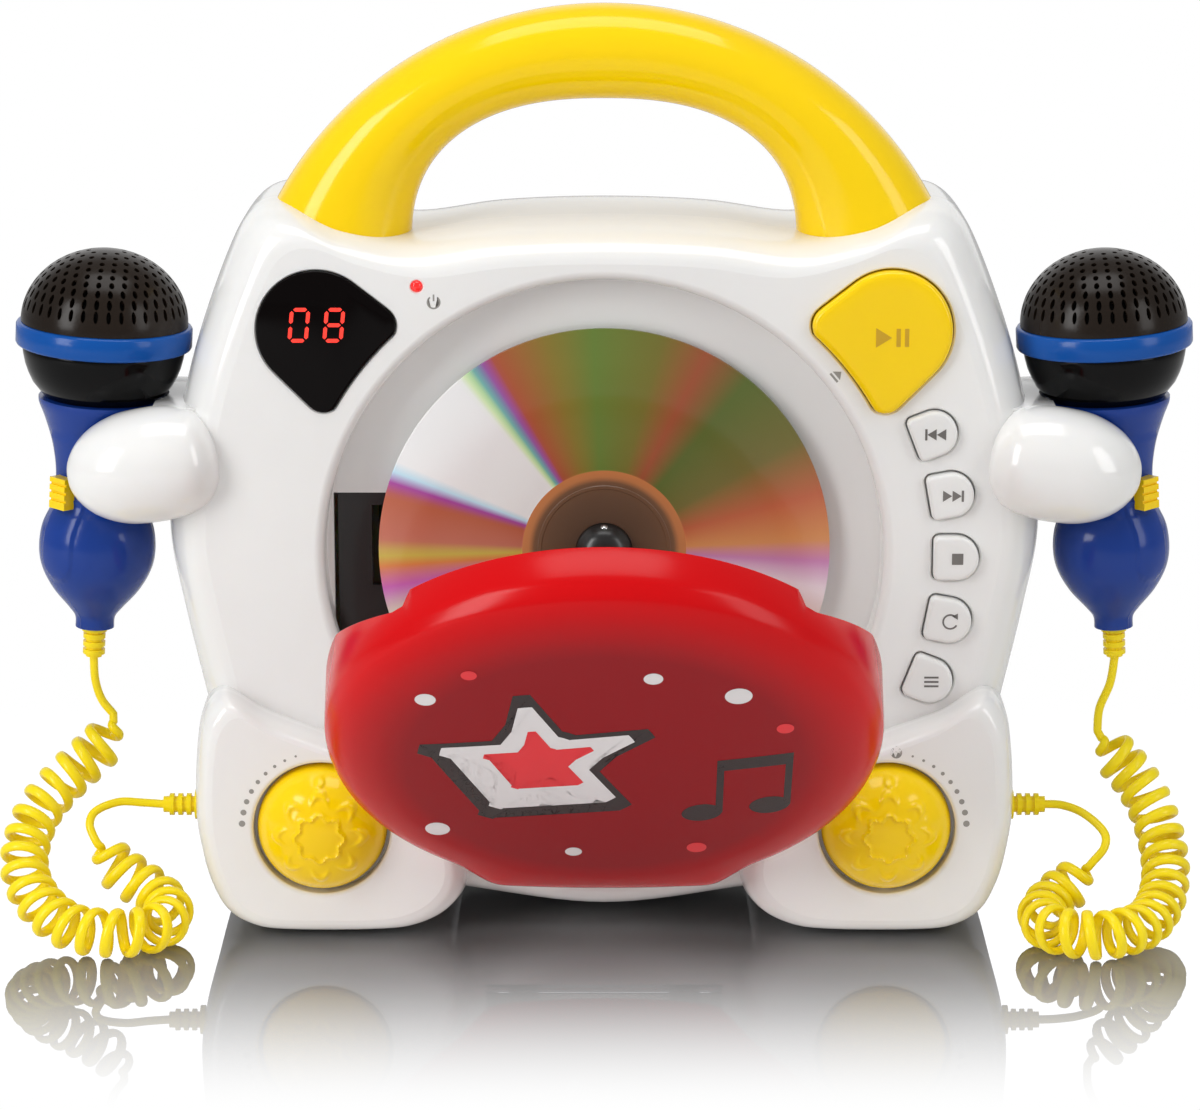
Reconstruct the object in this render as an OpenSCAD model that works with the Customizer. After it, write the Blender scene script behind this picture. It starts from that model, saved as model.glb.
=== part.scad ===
// Children's karaoke machine with a round disc well under a hinged lid.
// Millimetres, +Z up, the front faces -Y. The origin is on the floor, under the middle of the object.
// Inside at_disc() the coordinates are measured from the middle of the disc.

/* [Overall] */
// Height of the disc's middle above the floor
disc_z = 103; // [102:0.5:104]
// Distance of the disc's plane behind the origin
disc_y = 17; // [16:0.5:18]
// Wall thickness of the mouldings
wall = 2.5; // [2:0.1:3]

/* [Body] */
// Outer face of the front panel, ahead of the disc's plane
panel_y = -8; // [-8.4:0.1:-7.6]
// Plane where the front and rear shells meet
seam_y = 18; // [16:0.5:20]
// Outer face of the back
back_y = 78; // [76:0.5:80]
// Outer face of the leg pods
pod_y = -19; // [-20:0.5:-18]
// Radius of the disc well's mouth
mouth_r = 74; // [73.5:0.1:75]

/* [Handle] */
// Outer radius of the handle's arch
arch_r = 98.8; // [96:0.2:100]
// Height of the middle of that arch above the disc's middle
arch_z = 44.4; // [42:0.2:46]
// Half width of the finger gap at its foot
gap_x = 51; // [48:0.5:53]
// Top of the finger gap above the disc's middle
gap_z = 118.3; // [115:0.1:120]
// Half depth of the handle at its feet
handle_depth = 17; // [14:0.5:19]

/* [Lid] */
// Radius of the lid
lid_r = 70.9; // [70:0.1:71.5]
// Angle that the open lid leans forward
lid_open = 41.5; // [38:0.5:42]
// Height of the hinge below the disc's middle
hinge_drop = 81; // [80:0.5:81.5]
// Width of the hinge tab
tab_w = 62; // [56:1:64]

/* [Controls] */
// Radius of the arc that the five keys lie on
key_arc_r = 92.9; // [91.5:0.1:93.3]
// Angle from one key to the next
key_step = 10.6; // [10.2:0.1:11]
// Side of a key
key_side = 11.9; // [11:0.1:12.6]
// Distance of each knob from the middle plane
knob_x = 75.1; // [74:0.1:77]
// Height of the knobs below the disc's middle
knob_drop = 71.7; // [71:0.1:73]
// Radius of a knob
knob_r = 17.3; // [16:0.1:17.6]

/* [Microphones] */
// Distance of each microphone from the middle plane
mic_x = 135; // [133:0.5:136]
// Distance of the microphones behind the disc's plane
mic_y = 15; // [14:0.5:16]
// Lean of the microphones towards the body
mic_lean = 3.5; // [1:0.5:4]
// Radius of the hole in each hand
hand_hole_r = 16; // [15.9:0.1:16.4]

/* [Cords] */
// Diameter of the cord
cord_d = 2; // [1.8:0.1:2]
// Outer diameter of the curls
curl_d = 13.8; // [13:0.1:14.2]
// Number of curls in the left cord
left_curls = 24; // [20:1:24]
// Number of curls in the right cord
right_curls = 24; // [20:1:24]

/* [Hidden] */
$fn = 64;
white = [0.93, 0.92, 0.9];
yellow = [1, 0.84, 0.02];
red = [0.82, 0.03, 0.06];
blue = [0.06, 0.12, 0.5];
black = [0.05, 0.05, 0.05];
steel = [0.7, 0.7, 0.72];
board_green = [0.1, 0.35, 0.2];

// ---- Outlines, seen from the front ----
// Half of the torso, from its top middle clockwise to its bottom middle
torso_half = [
    [0, 87.5], [28, 86.5], [52, 83.5], [70, 87], [84, 92], [93, 89.5], [100, 77.5], [109, 52], [115, 25],
    [116.5, 4], [113, -17], [108, -40], [103, -62], [92, -80], [72, -90.5], [40, -95.5], [0, -100.5]
];
torso_middle = [0, -5];
// The right leg pod, clockwise
pod_outline = [
    [60, -53.5], [76, -47], [90, -41.5], [100.6, -35.5], [106.4, -40.5], [108.6, -51], [109.4, -68], [108, -80],
    [105.6, -89], [101.5, -96.5], [94.5, -100.8], [85, -102.2], [62, -102.2], [50, -100.8], [41, -96],
    [36.5, -88], [38.5, -77], [48, -64]
];
pod_middle = [75, -71];
// Each ring of a form is its depth and its scale
torso_front = [[panel_y, 0.9], [-7, 0.93], [-4, 0.96], [1.5, 0.985], [9, 0.997], [seam_y, 1]];
torso_rear = [[seam_y, 1], [46, 0.995], [62, 0.975], [72, 0.94], [76.5, 0.9], [back_y, 0.86]];
pod_front = [[pod_y, 0.84], [-18, 0.91], [-15, 0.965], [-11, 0.99], [-6, 1], [seam_y, 1]];
pod_rear = [[seam_y, 1], [58, 1], [68, 0.96], [74, 0.88], [76, 0.78]];
// The hollow inside each of them, from the seam to its bottom
torso_front_hollow = [[seam_y, 0.977], [9, 0.974], [2, 0.962], [-3, 0.935], [panel_y + wall, 0.9]];
torso_rear_hollow = [[seam_y, 0.977], [46, 0.972], [61, 0.95], [70, 0.915], [back_y - wall, 0.85]];
pod_front_hollow = [[seam_y, 0.935], [-3, 0.935], [-9, 0.925], [-12, 0.89]];
pod_rear_hollow = [[seam_y, 0.935], [56, 0.935], [66, 0.89], [73, 0.76]];

function unit(v) = v / norm(v);
function mirrored(half) = concat(half, [for (i = [len(half) - 2:-1:1]) [-half[i][0], half[i][1]]]);
function spline(a, b, c, d, t) =
    0.5 * (2 * b + (c - a) * t + (2 * a - 5 * b + 4 * c - d) * t * t + (3 * b - a - 3 * c + d) * t * t * t);
function smooth_loop(p, steps) = [
    for (i = [0:len(p) - 1]) for (j = [0:steps - 1])
        spline(p[(i - 1 + len(p)) % len(p)], p[i], p[(i + 1) % len(p)], p[(i + 2) % len(p)], j / steps)
];
function backwards(p) = [for (i = [len(p) - 1:-1:0]) p[i]];
function end_or(p, i) = p[max(0, min(len(p) - 1, i))];
function smooth_line(p, steps) = concat([
    for (i = [0:len(p) - 2]) for (j = [0:steps - 1])
        spline(end_or(p, i - 1), p[i], p[i + 1], end_or(p, i + 2), j / steps)
], [p[len(p) - 1]]);
// A loop in X and Z scaled about a middle and set at a depth
function ring(loop, middle, depth_and_scale) = [
    for (p = loop)
        let (q = middle + (p - middle) * depth_and_scale[1]) [q[0], depth_and_scale[0], q[1]]
];

// Skins a list of loops, which run clockwise as seen from the first one
module skin(loops) {
    n = len(loops[0]);
    m = len(loops);
    sides = [
        for (i = [0:m - 2]) for (j = [0:n - 1])
            let (k = (j + 1) % n)
            each [[i * n + j, (i + 1) * n + j, (i + 1) * n + k], [i * n + j, (i + 1) * n + k, i * n + k]]
    ];
    caps = [[for (j = [0:n - 1]) j], [for (j = [n - 1:-1:0]) (m - 1) * n + j]];
    polyhedron([for (loop = loops) each loop], concat(sides, caps), convexity = 8);
}
module torso(rings) {
    outline = smooth_loop(mirrored(torso_half), 2);
    skin([for (r = rings) ring(outline, torso_middle, r)]);
}
module pods(rings) {
    outline = smooth_loop(pod_outline, 2);
    for (side = [0, 1])
        mirror([side, 0, 0])
            skin([for (r = rings) ring(outline, pod_middle, r)]);
}
module whole_torso() {
    torso(concat(torso_front, [for (i = [1:len(torso_rear) - 1]) torso_rear[i]]));
}

// ---- Shared helpers ----
module at_disc() {
    translate([0, disc_y, disc_z]) children();
}
// A flat shape drawn in X and Z, made solid from the first depth to the second
module slab(front, rear) {
    translate([0, rear, 0])
        rotate([90, 0, 0])
            linear_extrude(rear - front)
                children();
}
module rod_y(r, front, rear) {
    translate([0, front, 0])
        rotate([-90, 0, 0])
            cylinder(r = r, h = rear - front);
}
module rod_x(r, left, right) {
    translate([left, 0, 0])
        rotate([0, 90, 0])
            cylinder(r = r, h = right - left);
}
// A profile in radius and depth turned round an axis that runs front to rear
module turned_y(profile) {
    rotate([-90, 0, 0])
        rotate_extrude()
            polygon(profile);
}
module box(low, high) {
    translate(low)
        cube(high - low);
}

// ---- Front shell ----
window_x = 75;
window_z = 61;
window_r = 15.8;
led_place = [-48.8, 72.6];
socket_r = 18.2;
// Screw bosses: X, Z and the depth where the front boss starts
top_screw = [94.5, 66];
screw_places = [
    for (side = [-1, 1]) for (p = [[top_screw[0], top_screw[1], -3], [100, -34, -3], [58, -92, -17.5]])
        [side * p[0], p[1], p[2]]
];
relief_y = 4;
relief_z = -72;
// Teardrop of the display window and, mirrored, of the play button
module teardrop(grow) {
    difference() {
        hull() {
            translate([window_x, window_z]) circle(r = window_r + grow, $fn = 32);
            translate([59.7, 62.2]) circle(r = 5.4 + grow, $fn = 32);
            translate([73.5, 43.9]) circle(r = 4.8 + grow, $fn = 32);
        }
        circle(r = 81.2 - grow);
    }
}
module key_shape(grow) {
    half = key_side / 2;
    translate([-half - grow, -half - grow])
        square([half + grow, key_side + 2 * grow]);
    circle(r = half + grow);
}
module at_key(number) {
    angle = (2 - number) * key_step;
    translate([key_arc_r * cos(angle), 0, key_arc_r * sin(angle)])
        rotate([0, -angle, 0])
            children();
}
hinge_y = 4.2;
bay_half = tab_w / 2 + 1;
bay_rear = 9;
module front_shell() {
    color(white) at_disc() difference() {
        union() {
            torso(concat(torso_front, torso_front_hollow));
            pods(concat(pod_front, pod_front_hollow));
            // box round the hinge
            box([-bay_half - 2, panel_y + 1, -89], [bay_half + 2, bay_rear + 2, -68]);
            for (p = screw_places)
                translate([p[0], 0, p[1]])
                    rod_y(3.5, p[2], seam_y);
        }
        turned_y([[0, -40], [mouth_r + 2.7, -40], [mouth_r + 2.7, panel_y], [mouth_r + 0.8, panel_y + 1],
                  [mouth_r, panel_y + 3], [mouth_r, 1], [0, 1]]);
        box([-bay_half, -40, -86.5], [bay_half, bay_rear, -60]);
        translate([0, hinge_y, -hinge_drop])
            rod_x(1.5, -bay_half - 1.5, bay_half + 1.5);
        for (i = [0:4])
            at_key(i)
                slab(-20, 0) key_shape(0.4);
        slab(-20, 0) teardrop(0.4);
        mirror([1, 0, 0])
            slab(-20, 0) teardrop(0.05);
        translate([led_place[0], 0, led_place[1]])
            rod_y(1.6, -20, 0);
        for (side = [-1, 1])
            translate([side * knob_x, 0, -knob_drop]) {
                rod_y(socket_r, -60, -14);
                rod_y(5, -60, 0);
            }
        for (p = screw_places)
            translate([p[0], 0, p[1]])
                rod_y(1.5, 0, seam_y + 1);
        for (side = [-1, 1])
            translate([0, relief_y, relief_z])
                rod_x(3, side > 0 ? 100 : -130, side > 0 ? 130 : -100);
        feet(0.05);
    }
}

// ---- Rear shell ----
door_low = [-57, -74];
door_high = [57, -18];
speaker_x = 46;
speaker_z = 36;
inlet_place = [78, -58];
module rear_shell() {
    slots = 6;
    color(white) at_disc() difference() {
        union() {
            torso(concat(backwards(torso_rear_hollow), torso_rear));
            pods(concat(backwards(pod_rear_hollow), pod_rear));
            for (p = screw_places)
                translate([p[0], 0, p[1]])
                    rod_y(4.5, seam_y, 60);
        }
        box([door_low[0], 45, door_low[1]], [door_high[0], 90, door_high[1]]);
        for (side = [-1, 1])
            for (i = [0:slots - 1])
                let (up = (i - (slots - 1) / 2) * 7.2, half = sqrt(22 * 22 - up * up))
                translate([side * speaker_x, 0, speaker_z + up])
                    box([-half, 60, -1.8], [half, 90, 1.8]);
        translate([inlet_place[0], 0, inlet_place[1]])
            rod_y(5, 50, 90);
        for (p = screw_places)
            translate([p[0], 0, p[1]]) {
                rod_y(1.7, seam_y - 1, 70);
                rod_y(3.2, 54, 90);
            }
        feet(0.05);
    }
}
module feet(grow) {
    for (x = [-82, 82])
        for (y = [4, 56])
            translate([x, y, -disc_z])
                cylinder(r = 6 + grow, h = 2.4 + grow);
}
module rubber_feet() {
    color(black) at_disc() feet(0);
}
module shell_screws() {
    color(steel) at_disc()
        for (p = screw_places)
            translate([p[0], 0, p[1]]) {
                rod_y(1.5, 4, 54.1);
                rod_y(2.9, 54.1, 56.3);
            }
}

// ---- Handle ----
// A station of the arch: its lower point and its upper point, in X and Z
gap_foot = 80;
arch_sweep = 66;
function power(v, p) = sign(v) * pow(abs(v), p);
function arch_low(s) = [
    gap_x * power(sin(90 * s), 0.83), gap_foot + (gap_z - gap_foot) * power(cos(90 * s), 0.83)
];
function arch_high(s) = [arch_r * sin(arch_sweep * s), arch_z + arch_r * cos(arch_sweep * s)];
function handle_ring(s, side) =
    let (low = arch_low(s), high = arch_high(s), mid = (low + high) / 2, up = unit(high - low))
    let (half = norm(high - low) / 2, deep = 13 + (handle_depth - 13) * s * s, n = 8)
    let (outer = [for (i = [0:n]) let (a = -90 + 180 * i / n) [half * sin(a), deep * cos(a)]])
    let (inner = [for (i = [n:-1:0]) let (a = -90 + 180 * i / n) [(half - wall) * sin(a), (deep - wall) * cos(a)]])
    [for (p = concat(outer, inner)) [mid[0] + up[0] * p[0], seam_y + side * p[1], mid[1] + up[1] * p[0]]];
module handle_half(side) {
    stations = 26;
    color(yellow) at_disc() difference() {
        skin([for (i = [0:stations]) handle_ring(side * (1 - 2 * i / stations), side)]);
        whole_torso();
    }
}
module handle_front() {
    handle_half(-1);
}
module handle_rear() {
    handle_half(1);
}

// ---- Arms ----
hand_z = 25.4;
finger_y = -4;
finger_droop = 9;
// The fist is an egg turned round an axis that runs sideways
egg = [[-1, 0], [-0.96, 0.28], [-0.82, 0.57], [-0.6, 0.8], [-0.3, 0.955], [0, 1], [0.35, 0.985], [0.7, 0.86],
       [0.9, 0.6], [0.975, 0.33], [1, 0]];
module finger(depth) {
    translate([112, depth, hand_z])
        rotate([0, finger_droop, 0])
            translate([9.5, 0, 0])
                rotate([0, -90, 0])
                    rotate_extrude()
                        polygon([for (p = smooth_line(egg, 2)) [15.2 * max(0, p[1]), 20.5 * p[0]]]);
}
module arm() {
    difference() {
        union() {
            finger(finger_y);
            finger(2 * mic_y - finger_y);
            translate([0, 0, hand_z - 14])
                linear_extrude(28)
                    translate([104, finger_y])
                        square([15, 2 * (mic_y - finger_y)]);
        }
        at_mic() {
            translate([0, 0, -40]) cylinder(r = hand_hole_r, h = 80);
            // seat of the rim
            translate([0, 0, 8.6]) cylinder(r1 = hand_hole_r, r2 = hand_hole_r + 1.8, h = 2.4);
            translate([0, 0, 11]) cylinder(r = hand_hole_r + 1.8, h = 20);
        }
        box([mic_x, mic_y - 15.8, hand_z - 30], [mic_x + 40, mic_y + 15.8, hand_z + 30]);
        whole_torso();
    }
}
module right_arm() {
    color(white) at_disc() arm();
}
module left_arm() {
    color(white) at_disc() mirror([1, 0, 0]) arm();
}

// ---- Display, keys and boards ----
module display_window() {
    color(black) at_disc() mirror([1, 0, 0]) {
        slab(-8.8, -4.5) teardrop(0);
        slab(-5.4, -4.5) teardrop(1.2);
    }
}
module display_module() {
    color([0.15, 0.02, 0.02]) at_disc() {
        for (x = [-83.5, -74.4])
            box([x, -4.2, 55.5], [x + 8, 0, 69.5]);
        box([-88, 0, 53], [-64, 1.6, 73]);
    }
}
module power_led() {
    color(red) at_disc() translate([led_place[0], 0, led_place[1]]) {
        rod_y(1.5, -8.6, -3);
        rod_y(2.2, -5.4, -4.4);
    }
}
module key(number) {
    color(white) at_disc() at_key(number) {
        slab(-10.2, -5.2) key_shape(0);
        slab(-5.2, -4.2) key_shape(1);
        rod_y(2, -4.2, -2.4);
    }
}
module key_back() {
    key(0);
}
module key_forward() {
    key(1);
}
module key_stop() {
    key(2);
}
module key_repeat() {
    key(3);
}
module key_mode() {
    key(4);
}
module play_button() {
    color(yellow) at_disc() {
        slab(-10.6, -5.2) teardrop(0);
        // the flange is notched round the screw's boss
        slab(-5.2, -4.2) difference() {
            teardrop(1);
            translate(top_screw) circle(r = 4.4);
        }
        translate([window_x, 0, window_z]) rod_y(2.5, -4.2, -2.4);
    }
}
module key_board() {
    color(board_green) at_disc() {
        slab(2, 3.6) difference() {
            union() {
                circle(r = 98);
                translate([76, 58]) circle(r = 14);
            }
            circle(r = 79.5);
            translate([-120, -120]) square([186, 240]);
            translate([60, -160]) square([80, 120]);
        }
        for (i = [0:4])
            at_key(i) {
                box([-3, -0.2, -3], [3, 2.5, 3]);
                rod_y(1.6, -0.7, 0);
            }
        translate([window_x, 0, window_z]) {
            box([-3, -0.2, -3], [3, 2.5, 3]);
            rod_y(1.6, -0.7, 0);
        }
    }
}
module main_board() {
    color(board_green) at_disc() {
        box([-62, 40, -12], [62, 41.6, 68]);
        for (x = [-44, -16, 14])
            box([x, 36.5, 6], [x + 18, 40, 24]);
        for (x = [-50, -34, -18, 20, 36, 50])
            translate([x, 0, 46]) rod_y(4, 30, 40);
        box([-20, 34, 54], [24, 40, 62]);
    }
}

// ---- Volume controls ----
module pot() {
    translate([knob_x, 0, -knob_drop]) {
        rod_y(3, -24, -8);
        rod_y(4.8, -12, -3.5);
        rod_y(6, -3.5, 4);
        box([-5.5, 4, -5.5], [5.5, 5.6, 9]);
    }
}
module volume_pots() {
    color(steel) at_disc() {
        pot();
        mirror([1, 0, 0]) pot();
    }
}
// A dome with a raised ring of petals
module knob() {
    petals = 8;
    translate([knob_x, 0, -knob_drop]) difference() {
        union() {
            turned_y([[0, -28.6], [4, -28.3], [8, -27.2], [11.5, -25.3], [14.4, -22.6], [16.4, -19.4],
                      [knob_r, -16.2], [knob_r, -14.4], [0, -14.4]]);
            for (i = [0:petals - 1])
                rotate([0, i * 360 / petals, 0])
                    translate([9.6, 0, 0]) rod_y(2.2, -27.4, -20);
        }
        rod_y(3.05, -24.2, 0);
    }
}
module right_knob() {
    color(yellow) at_disc() knob();
}
module left_knob() {
    color(yellow) at_disc() mirror([1, 0, 0]) knob();
}

// ---- Disc deck and lid ----
// Cut-out of the deck through which the mechanism shows
slot_low = [-72, -34];
slot_high = [16, 15];
module disc_deck() {
    color(white) at_disc() difference() {
        union() {
            rod_y(mouth_r + 2.4, panel_y + wall + 0.1, 5);
            rod_y(mouth_r + 4, 3, 5);
        }
        rod_y(mouth_r, panel_y, 3);
        box([slot_low[0], -1, slot_low[1]], [slot_high[0], 9, slot_high[1]]);
        box([-bay_half - 2.1, -20, -90], [bay_half + 2.1, 9, -67.9]);
        for (p = damper_places)
            translate([p[0], 0, p[1]]) rod_y(1.5, 3.8, 9);
    }
}
module lid_swing() {
    translate([0, hinge_y, -hinge_drop])
        rotate([lid_open, 0, 0])
            translate([0, -hinge_y, hinge_drop])
                children();
}
lid_rim = [[0, -24], [40, -23.7], [58, -23], [64.2, -21.6], [68.3, -19], [70.3, -15.6], [lid_r, -12]];
// The rim's lower edge is filled out to a nearly straight foot in front of the hinge
module lid_foot() {
    foot_z = -71;
    edge = [for (i = [-4:4]) let (x = i * tab_w / 8) [x, foot_z + x * x / 480]];
    intersection() {
        slab(-22, -12) polygon(concat(edge, [[tab_w / 2 + 15, -52], [-tab_w / 2 - 15, -52]]));
        union() {
            box([-52, -19, foot_z - 1], [52, -12, -50]);
            box([-52, -21.6, foot_z + 3], [52, -12, -50]);
            translate([0, -18.6, foot_z + 3]) rod_x(3, -52, 52);
        }
    }
}
module lid_cover() {
    skirt = 2;
    // Depth and height of the line that the skirt's rear edge follows
    skirt_line = [[-5, 80], [-5, 52], [-8.8, 52], [-8.8, 48.2], [3, 22], [3, -9], [-12, -30], [-12, -80]];
    color(red) at_disc() lid_swing() difference() {
        union() {
            turned_y(concat(lid_rim, [[lid_r, skirt], [0, skirt]]));
            lid_foot();
        }
        turned_y([[0, -21.4], [57, -20.6], [64, -18.6], [68, -15], [lid_r - 2.4, -11], [lid_r - 2.4, 5], [0, 5]]);
        translate([-80, 0, 0])
            rotate([90, 0, 90])
                linear_extrude(160)
                    polygon(concat(skirt_line, [[6, -80], [6, 80]]));
        box([-tab_w / 2 + 2, -17.5, -67.4], [tab_w / 2 - 2, 0, -40]);
    }
}
module lid_liner() {
    color([0.85, 0.84, 0.82]) at_disc() lid_swing() difference() {
        union() {
            rod_y(64.5, -17.6, -16);
            for (side = [-1, 1])
                translate([side * 22, 0, 0]) {
                    box([-4, -17.4, -65], [4, -8, -56]);
                    hull() {
                        translate([0, hinge_y, -hinge_drop]) rod_x(4, -4, 4);
                        translate([0, -9, -63]) rod_x(2.4, -4, 4);
                    }
                }
        }
        translate([0, hinge_y, -hinge_drop]) rod_x(1.55, -40, 40);
        rod_y(22, -20, -14);
    }
}
module hinge_pin() {
    color(steel) at_disc()
        translate([0, hinge_y, -hinge_drop]) rod_x(1.5, -bay_half - 1.5, bay_half + 1.5);
}
module lid_switch() {
    color(black) at_disc() {
        box([-5, 5.2, 64], [5, 12, 70]);
        box([-3, 12, 66], [3, 14, 67]);
    }
}

// ---- Disc mechanism ----
disc_r = 60;
rod_z = 17;
rod_depth = 13;
rack_z = -25;
gear_place = [-30, rack_z - 5.6];
wheel_angle = -45;
pinion_place = gear_place + 13.8 * [cos(wheel_angle), sin(wheel_angle)];
damper_places = [[-66, 23.5], [-66, -44], [24, 23.5], [24, -44]];
module disc() {
    color([0.8, 0.8, 0.85]) at_disc()
        turned_y([[7.5, -0.6], [disc_r, -0.6], [disc_r, 0.6], [7.5, 0.6]]);
}
module turntable() {
    color(black) at_disc() difference() {
        union() {
            turned_y([[0, -6], [4, -5.6], [6.2, -4.2], [7.42, -1.6], [7.42, 0.65], [15, 0.65], [15, 2.6],
                      [5, 2.6], [5, 6], [0, 6]]);
            for (i = [0:2])
                rotate([0, 120 * i + 30, 0])
                    translate([5.9, -1.9, 0]) sphere(r = 1.5);
        }
        rod_y(1.03, 1, 9);
    }
}
module spindle_motor() {
    color(steel) at_disc() {
        rod_y(1, 1.2, 8);
        rod_y(3, 6.4, 9.2);
        rod_y(12, 9.2, 19);
        rod_y(4, 19, 20.5);
    }
}
module mechanism_chassis() {
    color(black) at_disc() difference() {
        union() {
            box([-71, 5.6, -52], [28, 7.6, 27]);
            // two fingers that hold the sled motor
            translate([pinion_place[0], 0, pinion_place[1]]) {
                box([8.1, 7.6, -4], [10.6, 28, 4]);
                box([-4, 7.6, -11], [4, 28, -8.1]);
            }
            for (x = [-70, -13])
                for (z = [-rod_z, rod_z])
                    box([x, 7.6, z - 3], [x + 4, 16, z + 3]);
            translate([gear_place[0], 0, gear_place[1]]) rod_y(1.2, 7.6, 19);
        }
        box([-62, 5, -11], [-13.6, 9, 11]);
        box([-72, 5, -53], [-54, 9, -47.5]);
        rod_y(5.6, 5, 9);
        for (z = [-rod_z, rod_z])
            translate([0, rod_depth, z]) rod_x(1.5, -69, -10);
        for (p = damper_places)
            translate([p[0], 0, p[1]]) rod_y(2.5, 5, 9);
        translate([pinion_place[0], 0, pinion_place[1]]) rod_y(1.2, 5, 9);
    }
}
module damper_bushes() {
    color([0.2, 0.2, 0.2]) at_disc()
        for (p = damper_places)
            translate([p[0], 0, p[1]]) {
                rod_y(2.45, 5.1, 9);
                rod_y(3.4, 7.7, 10);
                rod_y(1.45, 3.9, 5.1);
            }
}
module guide_rods() {
    color(steel) at_disc()
        for (z = [-rod_z, rod_z])
            translate([0, rod_depth, z]) rod_x(1.5, -69, -10);
}
// Involute gear in X and Z: half thickness of a tooth at a radius, in degrees
pressure = 20;
function involute(a) = tan(a) * 180 / PI - a;
function half_tooth(teeth, module_mm, slack, r) =
    let (pitch_r = teeth * module_mm / 2, base_r = pitch_r * cos(pressure), a = acos(min(1, base_r / r)))
    90 / teeth - slack / 2 / pitch_r * 180 / PI + involute(pressure) - involute(a);
module gear_shape(teeth, module_mm, slack, phase) {
    pitch_r = teeth * module_mm / 2;
    base_r = pitch_r * cos(pressure);
    root_r = pitch_r - 1.2 * module_mm;
    radii = [max(base_r, root_r), pitch_r, pitch_r + 0.45 * module_mm, pitch_r + 0.85 * module_mm];
    polygon([
        for (i = [0:teeth - 1]) let (mid = phase + i * 360 / teeth) each concat(
            [root_r * [cos(mid - half_tooth(teeth, module_mm, slack, radii[0]) - 1.5),
                       sin(mid - half_tooth(teeth, module_mm, slack, radii[0]) - 1.5)]],
            [for (r = radii) let (h = half_tooth(teeth, module_mm, slack, r)) r * [cos(mid - h), sin(mid - h)]],
            [for (k = [3:-1:0]) let (r = radii[k], h = half_tooth(teeth, module_mm, slack, r))
                r * [cos(mid + h), sin(mid + h)]],
            [root_r * [cos(mid + half_tooth(teeth, module_mm, slack, radii[0]) + 1.5),
                       sin(mid + half_tooth(teeth, module_mm, slack, radii[0]) + 1.5)]])
    ]);
}
rack_module = 0.8;
wheel_module = 0.6;
// Half thickness of a rack tooth above its pitch line
function rack_half(up) = 0.58 + up * tan(pressure);
module drive_gear() {
    color([0.95, 0.95, 0.9]) at_disc() translate([gear_place[0], 0, gear_place[1]]) difference() {
        union() {
            slab(8.2, 16) gear_shape(14, rack_module, 0.16, 90);
            slab(16, 18.2) gear_shape(36, wheel_module, 0.14, wheel_angle);
        }
        rod_y(1.26, 0, 30);
    }
}
module motor_pinion() {
    color([0.95, 0.95, 0.9]) at_disc() translate([pinion_place[0], 0, pinion_place[1]]) difference() {
        slab(15.8, 18.4) gear_shape(10, wheel_module, 0.14, wheel_angle + 180 + 18);
        rod_y(0.8, 0, 30);
    }
}
module sled_motor() {
    color(steel) at_disc() translate([pinion_place[0], 0, pinion_place[1]]) {
        rod_y(0.75, 15.4, 18.8);
        rod_y(7.8, 18.8, 33);
    }
}
module pickup_sled() {
    tooth = PI * rack_module;
    color([0.12, 0.12, 0.13]) at_disc() difference() {
        union() {
            box([-37, 8.2, -10], [-17, 17, 10]);
            for (z = [-rod_z, rod_z])
                box([-35, 9, z - 3.2], [-19, 15.6, z + 3.2]);
            box([-35, 9, -19], [-19, 15.6, 19]);
            // lens holder and lens
            translate([-25, 0, 0]) {
                rod_y(5, 5, 8.2);
                turned_y([[0, 3.2], [2.2, 3.6], [3.2, 4.4], [3.2, 5], [0, 5]]);
            }
            // rack along the lower side
            box([-36.5, 9, rack_z + 1.2], [5, 12, rack_z + 4]);
            box([-35, 9, rack_z + 1.2], [-19, 12, -18]);
            for (i = [-2:12])
                translate([gear_place[0] + (i + 0.5) * tooth, 0, rack_z])
                    slab(9, 12)
                        polygon([[-rack_half(1.3), 1.3], [-rack_half(-0.68), -0.68], [rack_half(-0.68), -0.68],
                                 [rack_half(1.3), 1.3]]);
        }
        for (z = [-rod_z, rod_z])
            translate([0, rod_depth, z]) rod_x(1.55, -60, 0);
    }
}

// ---- Power, sound and battery bay ----
module battery_box() {
    color(white) at_disc() difference() {
        box([door_low[0] + 1, 46, door_low[1] + 2], [door_high[0] - 1, 73, door_high[1] - 2]);
        box([door_low[0] + 3, 48, door_low[1] + 4], [door_high[0] - 3, 80, door_high[1] - 4]);
    }
}
module battery_contacts() {
    color(steel) at_disc()
        for (side = [-1, 1])
            for (z = [-60, -32])
                translate([side * 53.2, 0, z])
                    box([-0.8, 52, -8], [0.8, 70, 8]);
}
module battery_door() {
    color(white) at_disc() difference() {
        union() {
            box([door_low[0] + 0.5, 75.8, door_low[1] + 1.6], [door_high[0] - 0.5, 78, door_high[1] - 0.5]);
            translate([0, 76.9, door_low[1] + 1.6])
                rod_x(1.1, door_low[0] + 0.5, door_high[0] - 0.5);
            for (x = [-40, 40])
                box([x - 6, 73.4, door_low[1] + 1], [x + 6, 75.8, door_low[1] + 5]);
            box([-9, 73.8, door_high[1] - 5], [9, 75.8, door_high[1] - 3]);
        }
        for (i = [-3:3])
            box([i * 6 - 1, 77.4, -30], [i * 6 + 1, 79, -24]);
    }
}
module speaker() {
    translate([speaker_x, 0, speaker_z])
        turned_y([[0, 55], [12, 55], [12, 63], [16, 63], [16, 65], [26.5, 73.2], [28, 73.2], [28, 75.4], [25, 75.4],
                  [23, 73.8], [9, 68], [6, 69.5], [0, 70.5]]);
}
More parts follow.
